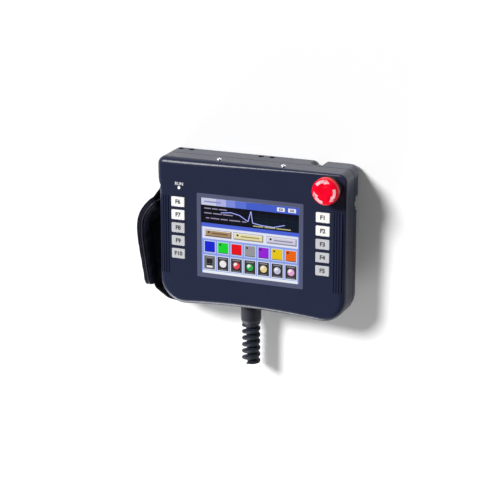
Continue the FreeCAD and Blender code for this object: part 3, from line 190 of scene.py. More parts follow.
def carved(mesh, cutter):
    """Mesh with the cutter's shape taken out of it."""
    body = bpy.data.objects.new("carved_blank", mesh)
    tool = bpy.data.objects.new("carving_tool", cutter)
    bpy.context.scene.collection.objects.link(body)
    bpy.context.scene.collection.objects.link(tool)
    cut = body.modifiers.new("carve", "BOOLEAN")
    cut.object = tool
    cut.operation = "DIFFERENCE"
    cut.solver = "EXACT"
    cut.use_self = True
    result = baked(body)
    bpy.data.objects.remove(tool)
    return result


def turned(profile, steps=32):
    """Bmesh of a profile of radius and height points turned about the z axis."""
    bm = bmesh.new()
    points = [bm.verts.new((radius, 0, height)) for radius, height in profile]
    lines = [bm.edges.new(pair) for pair in zip(points, points[1:])]
    bmesh.ops.spin(bm, geom=points + lines, cent=(0, 0, 0), axis=(0, 0, 1), angle=2 * math.pi,
                   steps=steps, use_merge=True, use_duplicate=False)
    bmesh.ops.remove_doubles(bm, verts=bm.verts[:], dist=WELD)
    return bm


def cross_screw(head, length):
    """Pan-head screw with its seat on z = 0, its head below and its thread above."""
    stem = head * SCREW_STEM_SHARE
    low = -SCREW_HEAD_HEIGHT
    profile = [(head * reach, low * drop) for reach, drop in HEAD_PROFILE] + [(stem, 0)]
    height = THREAD_PITCH
    while height < length - 2 * THREAD_PITCH:
        profile += [(stem - THREAD_DEPTH, height), (stem, height + THREAD_PITCH / 2)]
        height += THREAD_PITCH
    profile += [(stem, length - stem / 2), (stem / 2, length), (0, length)]
    blank = finished_mesh(turned(profile), "screw_blank")
    cutter = bmesh.new()
    for turn in (0, math.pi / 2):
        shape = Matrix.Rotation(turn, 4, "Z") @ Matrix.Diagonal((RECESS_LENGTH, RECESS_WIDTH, 1, 1))
        arm = bmesh.ops.create_cube(cutter, size=1.0, matrix=shape)
        bmesh.ops.scale(cutter, vec=(head, head, 2 * RECESS_DEPTH), verts=arm["verts"])
        bottom = [vert for vert in arm["verts"] if vert.co.z > 0]
        bmesh.ops.scale(cutter, vec=(RECESS_TAPER, RECESS_TAPER, 1), verts=bottom)
    bmesh.ops.translate(cutter, vec=(0, 0, low), verts=cutter.verts[:])
    return carved(blank, finished_mesh(cutter, "cross_cutter"))


def merged_copy(name):
    """Bmesh of a CAD node's mesh with its loose triangles joined."""
    bm = bmesh.new()
    bm.from_mesh(nodes[name].data)
    bmesh.ops.remove_doubles(bm, verts=bm.verts[:], dist=WELD)
    return bm


def solid_boxes(name):
    """Lowest and highest corner of each solid of a CAD node."""
    bm = merged_copy(name)
    boxes = []
    left = set(bm.verts)
    while left:
        reached = [left.pop()]
        for vert in reached:
            near = {edge.other_vert(vert) for edge in vert.link_edges} & left
            left -= near
            reached.extend(near)
        corners = list(zip(*(vert.co for vert in reached)))
        boxes.append((Vector(map(min, corners)), Vector(map(max, corners))))
    bm.free()
    return sorted(boxes, key=lambda box: tuple(box[0]))


def plated(name, colour, roughness):
    """Plated steel: full metal with faint tool lines that stretch the highlight."""
    material, tree, shader, place = start_material(name, {"Metallic": 1.0, "Base Color": linear(colour)})
    stretch = add(tree, "ShaderNodeMapping", {"Vector": place, "Scale": TOOL_LINE_STRETCH})
    lines = add(tree, "ShaderNodeTexNoise", {"Vector": stretch.outputs["Vector"], "Scale": 1 / TOOL_LINE})
    spread = add(tree, "ShaderNodeMapRange", {
        "Value": lines.outputs["Fac"], "To Min": roughness - TOOL_SPREAD, "To Max": roughness + TOOL_SPREAD,
    })
    tree.links.new(spread.outputs["Result"], shader.inputs["Roughness"])
    bump = add(tree, "ShaderNodeBump",
               {"Height": lines.outputs["Fac"], "Distance": 0.02 * MM, "Strength": 0.4})
    tree.links.new(bump.outputs["Normal"], shader.inputs["Normal"])
    return material


zinc_steel = plated("zinc_plated_steel", "#a9abae", 0.38)
nickel_steel = plated("bright_nickel_steel", "#e6e6ea", 0.24)
UPWARD = Matrix.Identity(4)
INTO_TOP_WALL = Matrix.Rotation(math.pi / 2, 4, "X")
for node, slot, finish, turn in (
    ("case_screws", "screw_steel", zinc_steel, UPWARD),
    ("corner_screws", "screw_steel", zinc_steel, UPWARD),
    ("top_screws", "bright_screws", nickel_steel, INTO_TOP_WALL),
):
    group = bmesh.new()
    for low, high in solid_boxes(node):
        size = high - low
        head_radius = size.x / 2
        middle = (low + high) / 2
        if turn is UPWARD:
            seat = Vector((middle.x, middle.y, low.z + SCREW_HEAD_HEIGHT))
            screw = cross_screw(head_radius, size.z - SCREW_HEAD_HEIGHT)
        else:
            seat = Vector((middle.x, high.y - SCREW_HEAD_HEIGHT, middle.z))
            screw = cross_screw(head_radius, size.y - SCREW_HEAD_HEIGHT)
        screw.transform(Matrix.Translation(seat) @ turn)
        group.from_mesh(screw)
    made = add_piece(node + "_cross", finished_mesh(group, node + "_cross"), "housing", slot, finish)
    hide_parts(node)

# Frame round the screen and the touch panel under it.
# The frame is printed satin plastic, the panel a polyester film on glass with a faint sheen.
frame_print = moulded(
    "satin_frame_print", "#4a4f6a", "#525774", 0.45, 0.7 * MM, 0.03 * MM, {"Specular IOR Level": 0.4})
finish_nodes(frame_print, "window_frame")
touch_film = moulded(
    "touch_panel_film", "#0c1026", "#10152e", 0.25, 0.5 * MM, 0.01 * MM,
    {"Coat Weight": 0.3, "Coat Roughness": 0.2})
finish_nodes(touch_film, "touch_panel")

# Picture on the screen: a plain operator page of generic buttons, lamps and a trend.
# It is light from the display that comes through the film, laid on the panel in thin sheets.
# Places on the page are in millimetres from its centre, and a higher layer lies on a lower one.
# The page reaches SCREEN_X to either side of its centre and SCREEN_Y up and down.
SHEET = 0.03 * MM
PANEL_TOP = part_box("touch_panel")[1].z
SCREEN_X = 57.6
SCREEN_Y = 43.2
SQUARE_START = -53.7
SQUARE_PITCH = 16.0
CELL_START = -54.5
CELL_PITCH = 16.1
DISC_SIDES = 28
DISPLAY_STRENGTH = 0.78
# The dots are 0.18 mm apart on the real display and are drawn at 0.8 mm so that they show.
DOT_PITCH = 0.8 * MM
DOT_SHARES = (0.16, 0.08)
screen = bmesh.new()
screen_finishes = []
screen_tones = {}


def lit_tone(colour):
    """Slot of a display colour: plain light of its own, under a film with the display's dot grid."""
    if colour not in screen_tones:
        material, tree, shader, place = start_material("display_light_" + colour[1:], {
            "Roughness": 0.32, "Specular IOR Level": 0.3,
            "Emission Color": linear(colour), "Emission Strength": DISPLAY_STRENGTH,
        })
        even, odd = (tuple(share * c for c in linear(colour)[:3]) + (1.0,) for share in DOT_SHARES)
        dots = add(tree, "ShaderNodeTexChecker",
                   {"Vector": place, "Scale": 1 / DOT_PITCH, "Color1": even, "Color2": odd})
        tree.links.new(dots.outputs["Color"], shader.inputs["Base Color"])
        screen_tones[colour] = len(screen_finishes)
        screen_finishes.append(material)
    return screen_tones[colour]


def paint(verts, colour):
    """Give the faces on these vertices a display colour."""
    slot = lit_tone(colour)
    for face in {face for vert in verts for face in vert.link_faces}:
        face.material_index = slot


def sheet_place(x, y, layer):
    """Middle of a sheet on the panel."""
    return Matrix.Translation((x * MM, y * MM, PANEL_TOP + (layer + 0.5) * SHEET))


def tile(x_ends, y_ends, colour, layer):
    """Upright rectangle of the picture."""
    size = Matrix.Diagonal(((x_ends[1] - x_ends[0]) * MM, (y_ends[1] - y_ends[0]) * MM, SHEET, 1))
    middle = sheet_place(sum(x_ends) / 2, sum(y_ends) / 2, layer)
    paint(bmesh.ops.create_cube(screen, size=1.0, matrix=middle @ size)["verts"], colour)


def disc(x, y, radius, colour, layer):
    """Round lamp or dot of the picture."""
    made = bmesh.ops.create_cone(
        screen, cap_ends=True, segments=DISC_SIDES, radius1=radius * MM, radius2=radius * MM, depth=SHEET,
        matrix=sheet_place(x, y, layer))
    paint(made["verts"], colour)


def stroke(start, end, width, colour, layer):
    """Straight line of the picture between two points."""
    run = Vector(end) - Vector(start)
    middle = (Vector(start) + Vector(end)) / 2
    turn = Matrix.Rotation(math.atan2(run.y, run.x), 4, "Z")
    size = Matrix.Diagonal((run.length * MM, width * MM, SHEET, 1))
    made = bmesh.ops.create_cube(screen, size=1.0, matrix=sheet_place(*middle, layer) @ turn @ size)
    paint(made["verts"], colour)


tile((-SCREEN_X, SCREEN_X), (-SCREEN_Y, SCREEN_Y), "#8fa3ee", 0)
# Header strip that fades from lilac to blue, with two plain icon squares.
fade = ((-SCREEN_X, "#d3d4ee"), (-40, "#b4b8ea"), (-28, "#7f8fe2"), (-17, "#5d75da"), (-4, "#4560d0"))
for layer, (x, colour) in enumerate(fade, 1):
    tile((x, SCREEN_X), (35.2, SCREEN_Y), colour, layer)
tile((-54, -34), (38.4, 40.0), "#8b8fc8", 6)
for x in (32, 45):
    tile((x, x + 9), (37, 41.4), "#f4f4fa", 6)
    tile((x + 2.4, x + 6.6), (38, 40.4), "#3c4a86", 7)
    tile((x + 3.4, x + 5.6), (38.8, 39.6), "#f4f4fa", 8)
# Trend panel: grid, two traces and three rows of plain bars where a page has its text.
tile((-SCREEN_X, SCREEN_X), (14.8, 35.2), "#05060f", 1)
tile((6, SCREEN_X), (14.8, 29), "#061420", 2)
for y in (18.6, 22.6, 26.6, 30.6):
    stroke((-SCREEN_X, y), (SCREEN_X, y), 0.25, "#1a2350", 3)
for x in range(-50, 60, 10):
    stroke((x, 14.8), (x, 35.2), 0.25, "#1a2350", 3)
trace = (
    (-34, 28.0), (-22, 29.4), (-12, 27.4), (-2, 21.4), (1.5, 33.4), (3.5, 20.4), (14, 18.8), (28, 18.2),
    (41, 21.8),
)
for start, end in zip(trace, trace[1:]):
    stroke(start, end, 1.1, "#5a6cf0", 4)
    stroke(start, end, 0.5, "#d9dcff", 5)
for y, runs in (
    (31.6, ((-54, -46), (-44.6, -38), (-36.6, -27))),
    (26.2, ((-54, -45), (-43.4, -33), (-31.6, -20))),
    (20.6, ((-52, -48), (-46.4, -36), (-34.4, -26), (-24, -11), (-9, -4))),
    (17.2, ((4, 16), (17.6, 30), (31.4, 48))),
):
    for ends in runs:
        tile(ends, (y - 0.55, y + 0.55), "#a79ab8" if y > 20 else "#c9c48a", 5)
# Divider and three wide buttons with raised edges.
tile((-SCREEN_X, SCREEN_X), (10.6, 14.8), "#4d66dc", 1)
tile((-56.4, 56.4), (-3.2, 10.2), "#e9ecfa", 1)
for x_ends, colour, shadow in (
    ((-53, -22), "#ad8f6b", "#6f5637"),
    ((-18.5, 15.5), "#ece3ae", "#a39a62"),
    ((20.5, 54.5), "#d5d2e6", "#8f8ca6"),
):
    tile((x_ends[0] - 0.6, x_ends[1] + 0.6), (-0.8, 7.6), "#8d93b8", 2)
    tile(x_ends, (-0.2, 7.0), shadow, 3)
    tile((x_ends[0], x_ends[1] - 0.8), (0.7, 7.0), "#f7f4ea", 4)
    tile((x_ends[0] + 0.8, x_ends[1] - 0.8), (0.7, 6.2), colour, 5)
    disc(x_ends[0] + 4.2, 4.4, 1.25, "#2a2230", 6)
    tile((x_ends[0] + 8, x_ends[1] - 4), (2.8, 4.2), shadow, 6)
# Row of seven coloured squares, each with a small indicator dot.
for index, colour in enumerate(("#1424d6", "#14dc2e", "#ee0a1c", "#9a9a9f", "#9a22dc", "#eecb12", "#f2680c")):
    x = SQUARE_START + SQUARE_PITCH * index
    tile((x - 1.0, x + 13.2), (-19.6, -5.3), "#c6d6fa", 2)
    tile((x, x + 12.2), (-18.5, -6.3), colour, 3)
    tile((x, x + 12.2), (-18.5, -17.8), "#3a3c60", 4)
    if index not in (0, 2):
        disc(x + 2.6, -8.8, 1.15, "#22182c", 4)
# Row of seven dark cells: a rocker switch and six round pilot lamps.
for index, colour in enumerate(("#26262c", "#f2f0f2", "#ee4a58", "#2fae52", "#eed79a", "#c6c4dc", "#e6a8d8")):
    x = CELL_START + CELL_PITCH * index
    tile((x - 0.9, x + 13.9), (-39.6, -22.0), "#dfe8fc", 2)
    tile((x, x + 13), (-38.5, -23), "#6a6a70" if index == 0 else "#3c3a40", 3)
    tile((x + 2, x + 11), (-25.4, -24.2), "#8f8d98", 4)
    if index == 0:
        tile((x + 3, x + 10), (-32, -26.4), colour, 4)
        tile((x + 3, x + 10), (-36.6, -34.4), "#f2f2f6", 4)
        tile((x + 3, x + 10), (-34.0, -32.6), "#17171c", 4)
        continue
    disc(x + 6.5, -31.2, 4.7, "#15141a", 4)
    disc(x + 6.5, -30.8, 4.1, colour, 5)
    disc(x + 5.4, -29.6, 2.1, "#fbf6f4", 6)
    disc(x + 7.3, -32.0, 2.1, colour, 7)
    tile((x + 2, x + 11), (-38.0, -36.8), "#77757f", 4)
tile((-56.4, 56.4), (-SCREEN_Y, -40.2), "#f4f8ff", 2)
page = finished_mesh(screen, "screen_picture")
add_piece("screen_picture", page, "housing", "panel_film", *screen_finishes)

# Display module, boards and the hardware that carries them, closed in behind the panel.
# Folded sheet metal, glass-fibre laminate under green solder mask, and black moulded connectors.
TRACK_PITCH = 12 * MM
sheet_metal = plated("folded_sheet_metal", "#b9bbbd", 0.42)
finish_nodes(sheet_metal, "display_module", "backup_cell")
finish_nodes(zinc_steel, "display_screws", "board_screws", "board_spacers", "key_board_screws")
connector_nylon = moulded(
    "connector_nylon", "#18181a", "#202022", 0.5, 0.6 * MM, 0.03 * MM, {"Specular IOR Level": 0.4})
finish_nodes(connector_nylon, "cable_header", "buzzer", "key_switches_right", "key_switches_left")
solder_mask, tree, shader, place = start_material("green_solder_mask", {"Coat Weight": 0.5, "Roughness": 0.4})
tracks = add(tree, "ShaderNodeTexBrick", {
    "Vector": place, "Scale": 1 / TRACK_PITCH, "Mortar Size": 0.04, "Color1": linear("#0d4a26"),
    "Color2": linear("#0f5229"), "Mortar": linear("#2f7d45"),
})
tree.links.new(tracks.outputs["Color"], shader.inputs["Base Color"])
raised = add(tree, "ShaderNodeBump", {"Height": tracks.outputs["Fac"], "Distance": 0.04 * MM})
tree.links.new(raised.outputs["Normal"], shader.inputs["Normal"])
finish_nodes(solder_mask, "main_board", "key_board_right", "key_board_left")

# Function keys in two columns, and the legend on each.
# Moulded ABS caps with a satin top; the upper two are painted white for their backlight, and the lower three,
# unlit, are light grey.
# The legends are pad-printed in dark ink and stand a hair above the cap.
# These keys are lit from behind, and their light is painted into the caps as a whiter colour.
BACKLIT_KEYS = (1, 2, 6, 7)
LEGEND_SIZE = 6.5 * MM
LEGEND_WEIGHT = 0.28 * MM
INK_THICKNESS = 0.03 * MM


def lettering(name, words, size, weight, middle):
    """Mesh of printed words centred on a point, facing +Z."""
    curve = bpy.data.curves.new(name, "FONT")
    curve.body = words
    curve.size = size
    curve.offset = weight
    curve.extrude = INK_THICKNESS / 2
    curve.align_x = "CENTER"
    curve.align_y = "CENTER"
    holder = bpy.data.objects.new(name, curve)
    bpy.context.scene.collection.objects.link(holder)
    mesh = baked(holder)
    mesh.transform(Matrix.Translation(middle))
    return mesh


# The white caps have the backlight of the lit keys painted into their colour; the grey caps are the same keys
# unlit.
key_white = moulded(
    "key_abs_painted_backlight", "#f4f4f3", "#f9f9f8", 0.42, 0.8 * MM, 0.03 * MM, {"Specular IOR Level": 0.4})
key_grey = moulded(
    "key_abs_unlit", "#c2c3c8", "#c9cace", 0.42, 0.8 * MM, 0.03 * MM, {"Specular IOR Level": 0.4})
dark_ink = moulded(
    "dark_pad_print", "#3a3a40", "#45454c", 0.55, 0.4 * MM, 0.01 * MM, {"Specular IOR Level": 0.3})
for number in range(1, 11):
    node = f"key_f{number}"
    bright = number in BACKLIT_KEYS
    finish_nodes(key_white if bright else key_grey, node)
    low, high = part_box(node)
    middle = Vector(((low.x + high.x) / 2, (low.y + high.y) / 2, high.z + INK_THICKNESS / 2))
    legend = lettering(f"legend_f{number}", f"F{number}", LEGEND_SIZE, LEGEND_WEIGHT, middle)
    add_piece(f"legend_f{number}", legend, node + "_body", "key_white" if bright else "key_grey", dark_ink)

# Status lamp and the word above it.
# A clear domed light pipe, lit white, and a legend printed in white ink on the housing.
WORD_SIZE = 4.9 * MM
WORD_WEIGHT = 0.12 * MM
WORD_GAP = 2.7 * MM
LENS_SWIRL = 1.5 * MM
clear_lens, tree, shader, place = start_material("clear_lamp_lens", {
    "Roughness": 0.15, "Emission Color": linear("#ffffff"), "Emission Strength": 0.35, "Coat Weight": 0.6,
})
swirl = add(tree, "ShaderNodeTexNoise", {"Vector": place, "Scale": 1 / LENS_SWIRL})
milk = add(tree, "ShaderNodeMixRGB",
           {"Fac": swirl.outputs["Fac"], "Color1": linear("#dcdce2"), "Color2": linear("#f6f6f8")})
tree.links.new(milk.outputs["Color"], shader.inputs["Base Color"])
finish_nodes(clear_lens, "run_lamp")
white_ink = moulded(
    "white_pad_print", "#dadae0", "#e6e6ea", 0.5, 0.4 * MM, 0.01 * MM, {"Specular IOR Level": 0.3})
lamp_low, lamp_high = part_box("run_lamp")
front_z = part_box("front_housing")[1].z
word_place = Vector(((lamp_low.x + lamp_high.x) / 2, lamp_high.y + WORD_GAP, front_z + INK_THICKNESS / 2))
word = lettering("lamp_word", "RUN", WORD_SIZE, WORD_WEIGHT, word_place)
add_piece("lamp_word", word, "housing", "key_white", white_ink)

# Emergency stop: mushroom head, twist arrows, the collar under it, and its shaft, spring and contacts.
# The head is polished red polycarbonate on a metal shaft, the arrows are printed pale on its crest,
# and the collar is black moulded plastic clamped through the front wall by a ring nut.
ARROW_RADIUS = 11.4 * MM
ARROW_WIDTH = 3.0 * MM
ARROW_HEAD_WIDTH = 6.4 * MM
ARROW_SWEEP = math.radians(82)
ARROW_SHAFT_SHARE = 0.6
ARROW_STEPS = 30
ARROW_PLACES = (100, 220, 340)
stop_red = moulded(
    "polished_red_polycarbonate", "#f80024", "#fd022c", 0.25, 3 * MM, 0.004 * MM,
    {"Specular IOR Level": 0.18})
finish_nodes(stop_red, "estop_head")
finish_nodes(sheet_metal, "estop_shaft", "estop_ring_nut")
finish_nodes(connector_nylon, "estop_contacts")
# The return spring stands on the contact block under the shaft's flange, which presses it shorter when the
# head is pushed.
coil_mesh = finished_mesh(merged_copy("estop_spring"), "return_spring")
coil = add_piece("return_spring", coil_mesh, "housing", "spring_steel", zinc_steel)
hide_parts("estop_spring")
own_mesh(coil)
collar_black = moulded(
    "black_collar_plastic", "#0b0b0f", "#101016", 0.4, 0.7 * MM, 0.03 * MM, {"Specular IOR Level": 0.4})
finish_nodes(collar_black, "estop_barrel")
arrow_ink = moulded(
    "pale_arrow_print", "#f5b9c2", "#f9c8ce", 0.35, 0.5 * MM, 0.01 * MM, {"Specular IOR Level": 0.4})
head_mesh = bmesh.new()
head_mesh.from_mesh(nodes["estop_head"].data)
head_surface = BVHTree.FromBMesh(head_mesh)
head_low, head_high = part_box("estop_head")
head_axis = (head_low + head_high) / 2
arrows = bmesh.new()
for degrees in ARROW_PLACES:
    strip = bmesh.ops.create_grid(arrows, x_segments=ARROW_STEPS, y_segments=4, size=1.0)
    for vert in strip["verts"]:
        along = (vert.co.x + 1) / 2
        if along < ARROW_SHAFT_SHARE:
            width = ARROW_WIDTH
        else:
            width = ARROW_HEAD_WIDTH * (1 - along) / (1 - ARROW_SHAFT_SHARE)
        angle = math.radians(degrees) + ARROW_SWEEP * (0.5 - along)
        radius = ARROW_RADIUS + vert.co.y * width / 2
        out = Vector((math.cos(angle), math.sin(angle), 0)) * radius
        above = Vector((head_axis.x, head_axis.y, head_high.z + MM)) + out
        hit = head_surface.ray_cast(above, Vector((0, 0, -1)))[0]
        vert.co = hit + Vector((0, 0, INK_THICKNESS))
head_mesh.free()
bmesh.ops.remove_doubles(arrows, verts=arrows.verts[:], dist=WELD)
bmesh.ops.recalc_face_normals(arrows, faces=arrows.faces[:])
bmesh.ops.solidify(arrows, geom=arrows.faces[:], thickness=INK_THICKNESS)
add_piece("twist_arrows", finished_mesh(arrows, "twist_arrows"), "stop_knob", "stop_red", arrow_ink)

# Enabling bar behind the left grip, and the switch that it presses.
# Grey moulded plastic that stands out of the rear half and is squeezed with the fingers.
bar_plastic = moulded(
    "grey_bar_plastic", "#53565c", "#5c5f66", 0.45, 0.9 * MM, 0.05 * MM, {"Specular IOR Level": 0.4})
finish_nodes(bar_plastic, "enable_bar")
finish_nodes(connector_nylon, "enable_switch")

# Hand strap: a padded sleeve between two webbing tails that are pinned in the housing's side.
# The sleeve is black woven nylon over foam, closed by a piped seam round its edge.
# The tails are black nylon webbing, tucked into the sleeve's ends.
# The line is the middle of the sleeve in plan, in millimetres: from its upper end round the bulge to its
# lower end.
SLEEVE_LINE = (
    (-116.6, 30.4), (-124.2, 22.8), (-130.6, 12.9), (-133.4, 1.0), (-132.6, -12.0), (-130.3, -30.0),
    (-127.4, -50.0), (-124.4, -69.0),
)
SLEEVE_THICKNESS = 13.4 * MM
SLEEVE_CROWN = 2.6 * MM
SLEEVE_CUTS = 30
SLEEVE_VOXEL = 2.2 * MM
SLEEVE_ROUNDING = 7
SLEEVE_SWELL = 2.0 * MM
SLEEVE_PRESSURE = 4
SLEEVE_FRAMES = 20
TAIL_TUCK = 8.0 * MM
TAIL_EDGE = 0.45 * MM
TAIL_FLAT = math.radians(1)
TAIL_SHARP = math.radians(50)
PIPING_RADIUS = 0.9 * MM
STITCH_INSET = 2.5 * MM
STITCH_LENGTH = 1.9 * MM
STITCH_RADIUS = 0.28 * MM
CREASE_SIZE = 15 * MM
CREASE_DEPTH = 2.5 * MM


def woven(name, dark, light, thread, depth, sheen):
    """Plain weave: two sets of threads cross, with a nap that catches light at the edges."""
    material, tree, shader, place = start_material(name, {
        "Roughness": 0.8, "Specular IOR Level": 0.1, "Sheen Weight": sheen, "Sheen Roughness": 0.4,
        "Sheen Tint": linear("#8088c0"),
    })
    # A wave repeats every 2 pi / (20 scale), so this scale makes each thread as wide as it says.
    scale = 2 * math.pi / (20 * thread)
    along = add(tree, "ShaderNodeTexWave", {"Vector": place, "Scale": scale}, bands_direction="Z")
    across = add(tree, "ShaderNodeTexWave", {"Vector": place, "Scale": scale}, bands_direction="Y")
    cloth = add(tree, "ShaderNodeMath",
                {0: along.outputs["Fac"], 1: across.outputs["Fac"]}, operation="MULTIPLY")
    # Broad soft creases, where the cloth gives over what is under it and is rubbed paler.
    give = add(tree, "ShaderNodeTexNoise", {"Vector": place, "Scale": 1 / CREASE_SIZE, "Detail": 2.0})
    rubbed = add(tree, "ShaderNodeMath",
                 {0: cloth.outputs["Value"], 1: give.outputs["Fac"]}, operation="MULTIPLY")
    tone = add(tree, "ShaderNodeMixRGB",
               {"Fac": rubbed.outputs["Value"], "Color1": linear(dark), "Color2": linear(light)})
    tree.links.new(tone.outputs["Color"], shader.inputs["Base Color"])
    creases = add(tree, "ShaderNodeBump",
                  {"Height": give.outputs["Fac"], "Distance": CREASE_DEPTH, "Strength": 0.6})
    bump = add(tree, "ShaderNodeBump", {
        "Height": cloth.outputs["Value"], "Distance": depth, "Strength": 0.8,
        "Normal": creases.outputs["Normal"],
    })
    tree.links.new(bump.outputs["Normal"], shader.inputs["Normal"])
    return material


# Threads are 0.5 mm on the real cloth and 0.8 mm on webbing, and are drawn wider so that they show.
pad_nylon = woven("black_woven_nylon", "#080914", "#1f213c", 1.3 * MM, 0.12 * MM, 0.05)
webbing = woven("black_nylon_webbing", "#07070c", "#1d1d2b", 1.6 * MM, 0.2 * MM, 0.08)
# The piping is paler than the sleeve: partly its own grey vinyl, partly a painted highlight along the seam.
piping_vinyl_and_highlight = moulded(
    "piping_vinyl_and_highlight", "#2c2c38", "#353542", 0.35, 1.2 * MM, 0.02 * MM, {"Specular IOR Level": 0.5})
stitch_thread = moulded(
    "stitch_thread", "#20202a", "#2a2a35", 0.7, 0.3 * MM, 0.03 * MM, {"Sheen Weight": 0.2})


def smooth_line(name, places, closed, radius):
    """Mesh of a smooth line through control points, round where it has a radius."""
    curve = bpy.data.curves.new(name, "CURVE")
    curve.dimensions = "3D"
    curve.bevel_depth = radius
    curve.bevel_resolution = 3
    spline = curve.splines.new("NURBS")
    spline.points.add(len(places) - 1)
    for control, place in zip(spline.points, places):
        control.co = (*place, 1)
    spline.use_cyclic_u = closed
    spline.use_endpoint_u = not closed
    spline.order_u = 3
    spline.resolution_u = 5
    holder = bpy.data.objects.new(name, curve)
    bpy.context.scene.collection.objects.link(holder)
    return baked(holder)


# The blank is a block bent along the line, made an even grid, eased at its edges and filled by pressure.
pad_low, pad_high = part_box("strap_pad")
middle_line = [Vector((x * MM, y * MM, (pad_low.z + pad_high.z) / 2)) for x, y in SLEEVE_LINE]
steps = [vert.co.copy() for vert in smooth_line("sleeve_line", middle_line, False, 0).vertices]
blank = bmesh.new()
bmesh.ops.create_cube(blank, size=1.0)
bmesh.ops.subdivide_edges(blank, edges=blank.edges[:], cuts=SLEEVE_CUTS, use_grid_fill=True)
for vert in blank.verts:
    reach = (0.5 - vert.co.y) * (len(steps) - 1)
    index = min(int(reach), len(steps) - 2)
    run = steps[index + 1] - steps[index]
    inward = Vector((-run.y, run.x, 0)).normalized()
    # The foam is fullest in the middle of the outer panel, where vert.co.x is -0.5.
    fullness = (1 - 4 * vert.co.z ** 2) * (1 - 4 * vert.co.y ** 2)
    crown = SLEEVE_CROWN * fullness * max(0, -2 * vert.co.x)
    sideways = inward * (SLEEVE_THICKNESS * vert.co.x - crown)
    lift = Vector((0, 0, (pad_high.z - pad_low.z) * vert.co.z))
    vert.co = steps[index] + run * (reach - index) + sideways + lift
holder = bpy.data.objects.new("strap_sleeve", finished_mesh(blank, "strap_sleeve"))
bpy.context.scene.collection.objects.link(holder)
remesh = holder.modifiers.new("even_grid", "REMESH")
remesh.mode = "VOXEL"
remesh.voxel_size = SLEEVE_VOXEL
eased = bmesh.new()
eased.from_mesh(baked(holder))
for _ in range(SLEEVE_ROUNDING):
    bmesh.ops.smooth_vert(
        eased, verts=eased.verts[:], factor=0.5, use_axis_x=True, use_axis_y=True, use_axis_z=True)
sleeve_mesh = finished_mesh(eased, "strap_sleeve", crease=180)
holder = bpy.data.objects.new("strap_sleeve", sleeve_mesh)
bpy.context.scene.collection.objects.link(holder)
cloth = holder.modifiers.new("cloth", "CLOTH")
cloth.settings.use_pressure = True
cloth.settings.uniform_pressure_force = SLEEVE_PRESSURE
cloth.settings.effector_weights.gravity = 0
cloth.point_cache.frame_start = 1
cloth.point_cache.frame_end = SLEEVE_FRAMES
for number in range(1, SLEEVE_FRAMES + 1):
    bpy.context.scene.frame_set(number)
swollen = baked(holder)
bpy.context.scene.frame_set(1)
# No point is moved further than the swell.
for before, after in zip(sleeve_mesh.vertices, swollen.vertices):
    move = after.co - before.co
    if move.length > SLEEVE_SWELL:
        move *= SLEEVE_SWELL / move.length
    before.co += move
sleeve = add_piece("strap_sleeve", sleeve_mesh, "housing", "pad_fabric", pad_nylon)
smooth = sleeve.modifiers.new("smooth", "SUBSURF")
smooth.levels = 1
smooth.render_levels = 1
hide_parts("strap_pad")

# Piping closes the seam between the outer and the inner panel, along the middle of the sleeve's edge:
# down the front edge, round the lower end, up the rear edge and round the upper end.
sleeve_shape = bmesh.new()
sleeve_shape.from_mesh(sleeve_mesh)
sleeve_surface = BVHTree.FromBMesh(sleeve_shape)
half_width = Vector((0, 0, (pad_high.z - pad_low.z) / 2))
front_pass = [place + half_width for place in middle_line]
rear_pass = [place - half_width for place in reversed(middle_line)]
route = smooth_line("seam_route", front_pass + rear_pass, True, 0)
line = [sleeve_surface.find_nearest(vert.co)[0] for vert in route.vertices]
piping = smooth_line("piping", line, True, PIPING_RADIUS)
piping.shade_smooth()
add_piece("piping", piping, "housing", "pad_fabric", piping_vinyl_and_highlight)

# A row of stitches on either side of the piping goes through both panels.
stitches = bmesh.new()
for index, place in enumerate(line):
    run = (line[(index + 1) % len(line)] - line[index - 1]).normalized()
    outward = sleeve_surface.find_nearest(place)[1]
    sideways = run.cross(outward).normalized()
    turn = run.to_track_quat("Z", "Y").to_matrix().to_4x4()
    for shift in (-STITCH_INSET, STITCH_INSET):
        spot = sleeve_surface.find_nearest(place + shift * sideways)[0]
        made = bmesh.ops.create_icosphere(stitches, subdivisions=1, radius=STITCH_RADIUS)
        bmesh.ops.scale(stitches, vec=(1, 1, STITCH_LENGTH / 2 / STITCH_RADIUS), verts=made["verts"])
        bmesh.ops.transform(stitches, matrix=Matrix.Translation(spot) @ turn, verts=made["verts"])
stitch_mesh = finished_mesh(stitches, "stitches", crease=80)
add_piece("stitches", stitch_mesh, "housing", "pad_fabric", stitch_thread)
sleeve_shape.free()

# Each tail is tucked into the sleeve's end and sewn there; its loop goes round a nickel-plated pin.
finish_nodes(nickel_steel, "strap_pins")
for node in ("strap_upper_tail", "strap_lower_tail"):
    tail = merged_copy(node)
    bmesh.ops.dissolve_limit(tail, angle_limit=TAIL_FLAT, verts=tail.verts[:], edges=tail.edges[:])
    tucked = min(tail.faces, key=lambda face: (face.calc_center_median() - (pad_low + pad_high) / 2).length)
    bmesh.ops.translate(tail, vec=tucked.normal * TAIL_TUCK, verts=tucked.verts[:])
    sharp = [edge for edge in tail.edges if edge.calc_face_angle(0) > TAIL_SHARP]
    bmesh.ops.bevel(tail, geom=sharp, offset=TAIL_EDGE, segments=3, profile=0.5, affect="EDGES", material=-1,
                    clamp_overlap=True)
    tail_mesh = finished_mesh(tail, node + "_webbing")
    made = add_piece(node + "_webbing", tail_mesh, "housing", "strap_webbing", webbing)
    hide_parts(node)

# Strain relief of the cable: a moulded boot with a helical fin, and its lock nut.
# Black thermoplastic rubber, dull, pushed through the foot wall and held by the metal nut inside.
boot_rubber = moulded(
    "black_boot_rubber", "#20242f", "#282d39", 0.55, 1.0 * MM, 0.05 * MM, {"Specular IOR Level": 0.4})
finish_nodes(boot_rubber, "strain_relief")
finish_nodes(sheet_metal, "gland_nut")

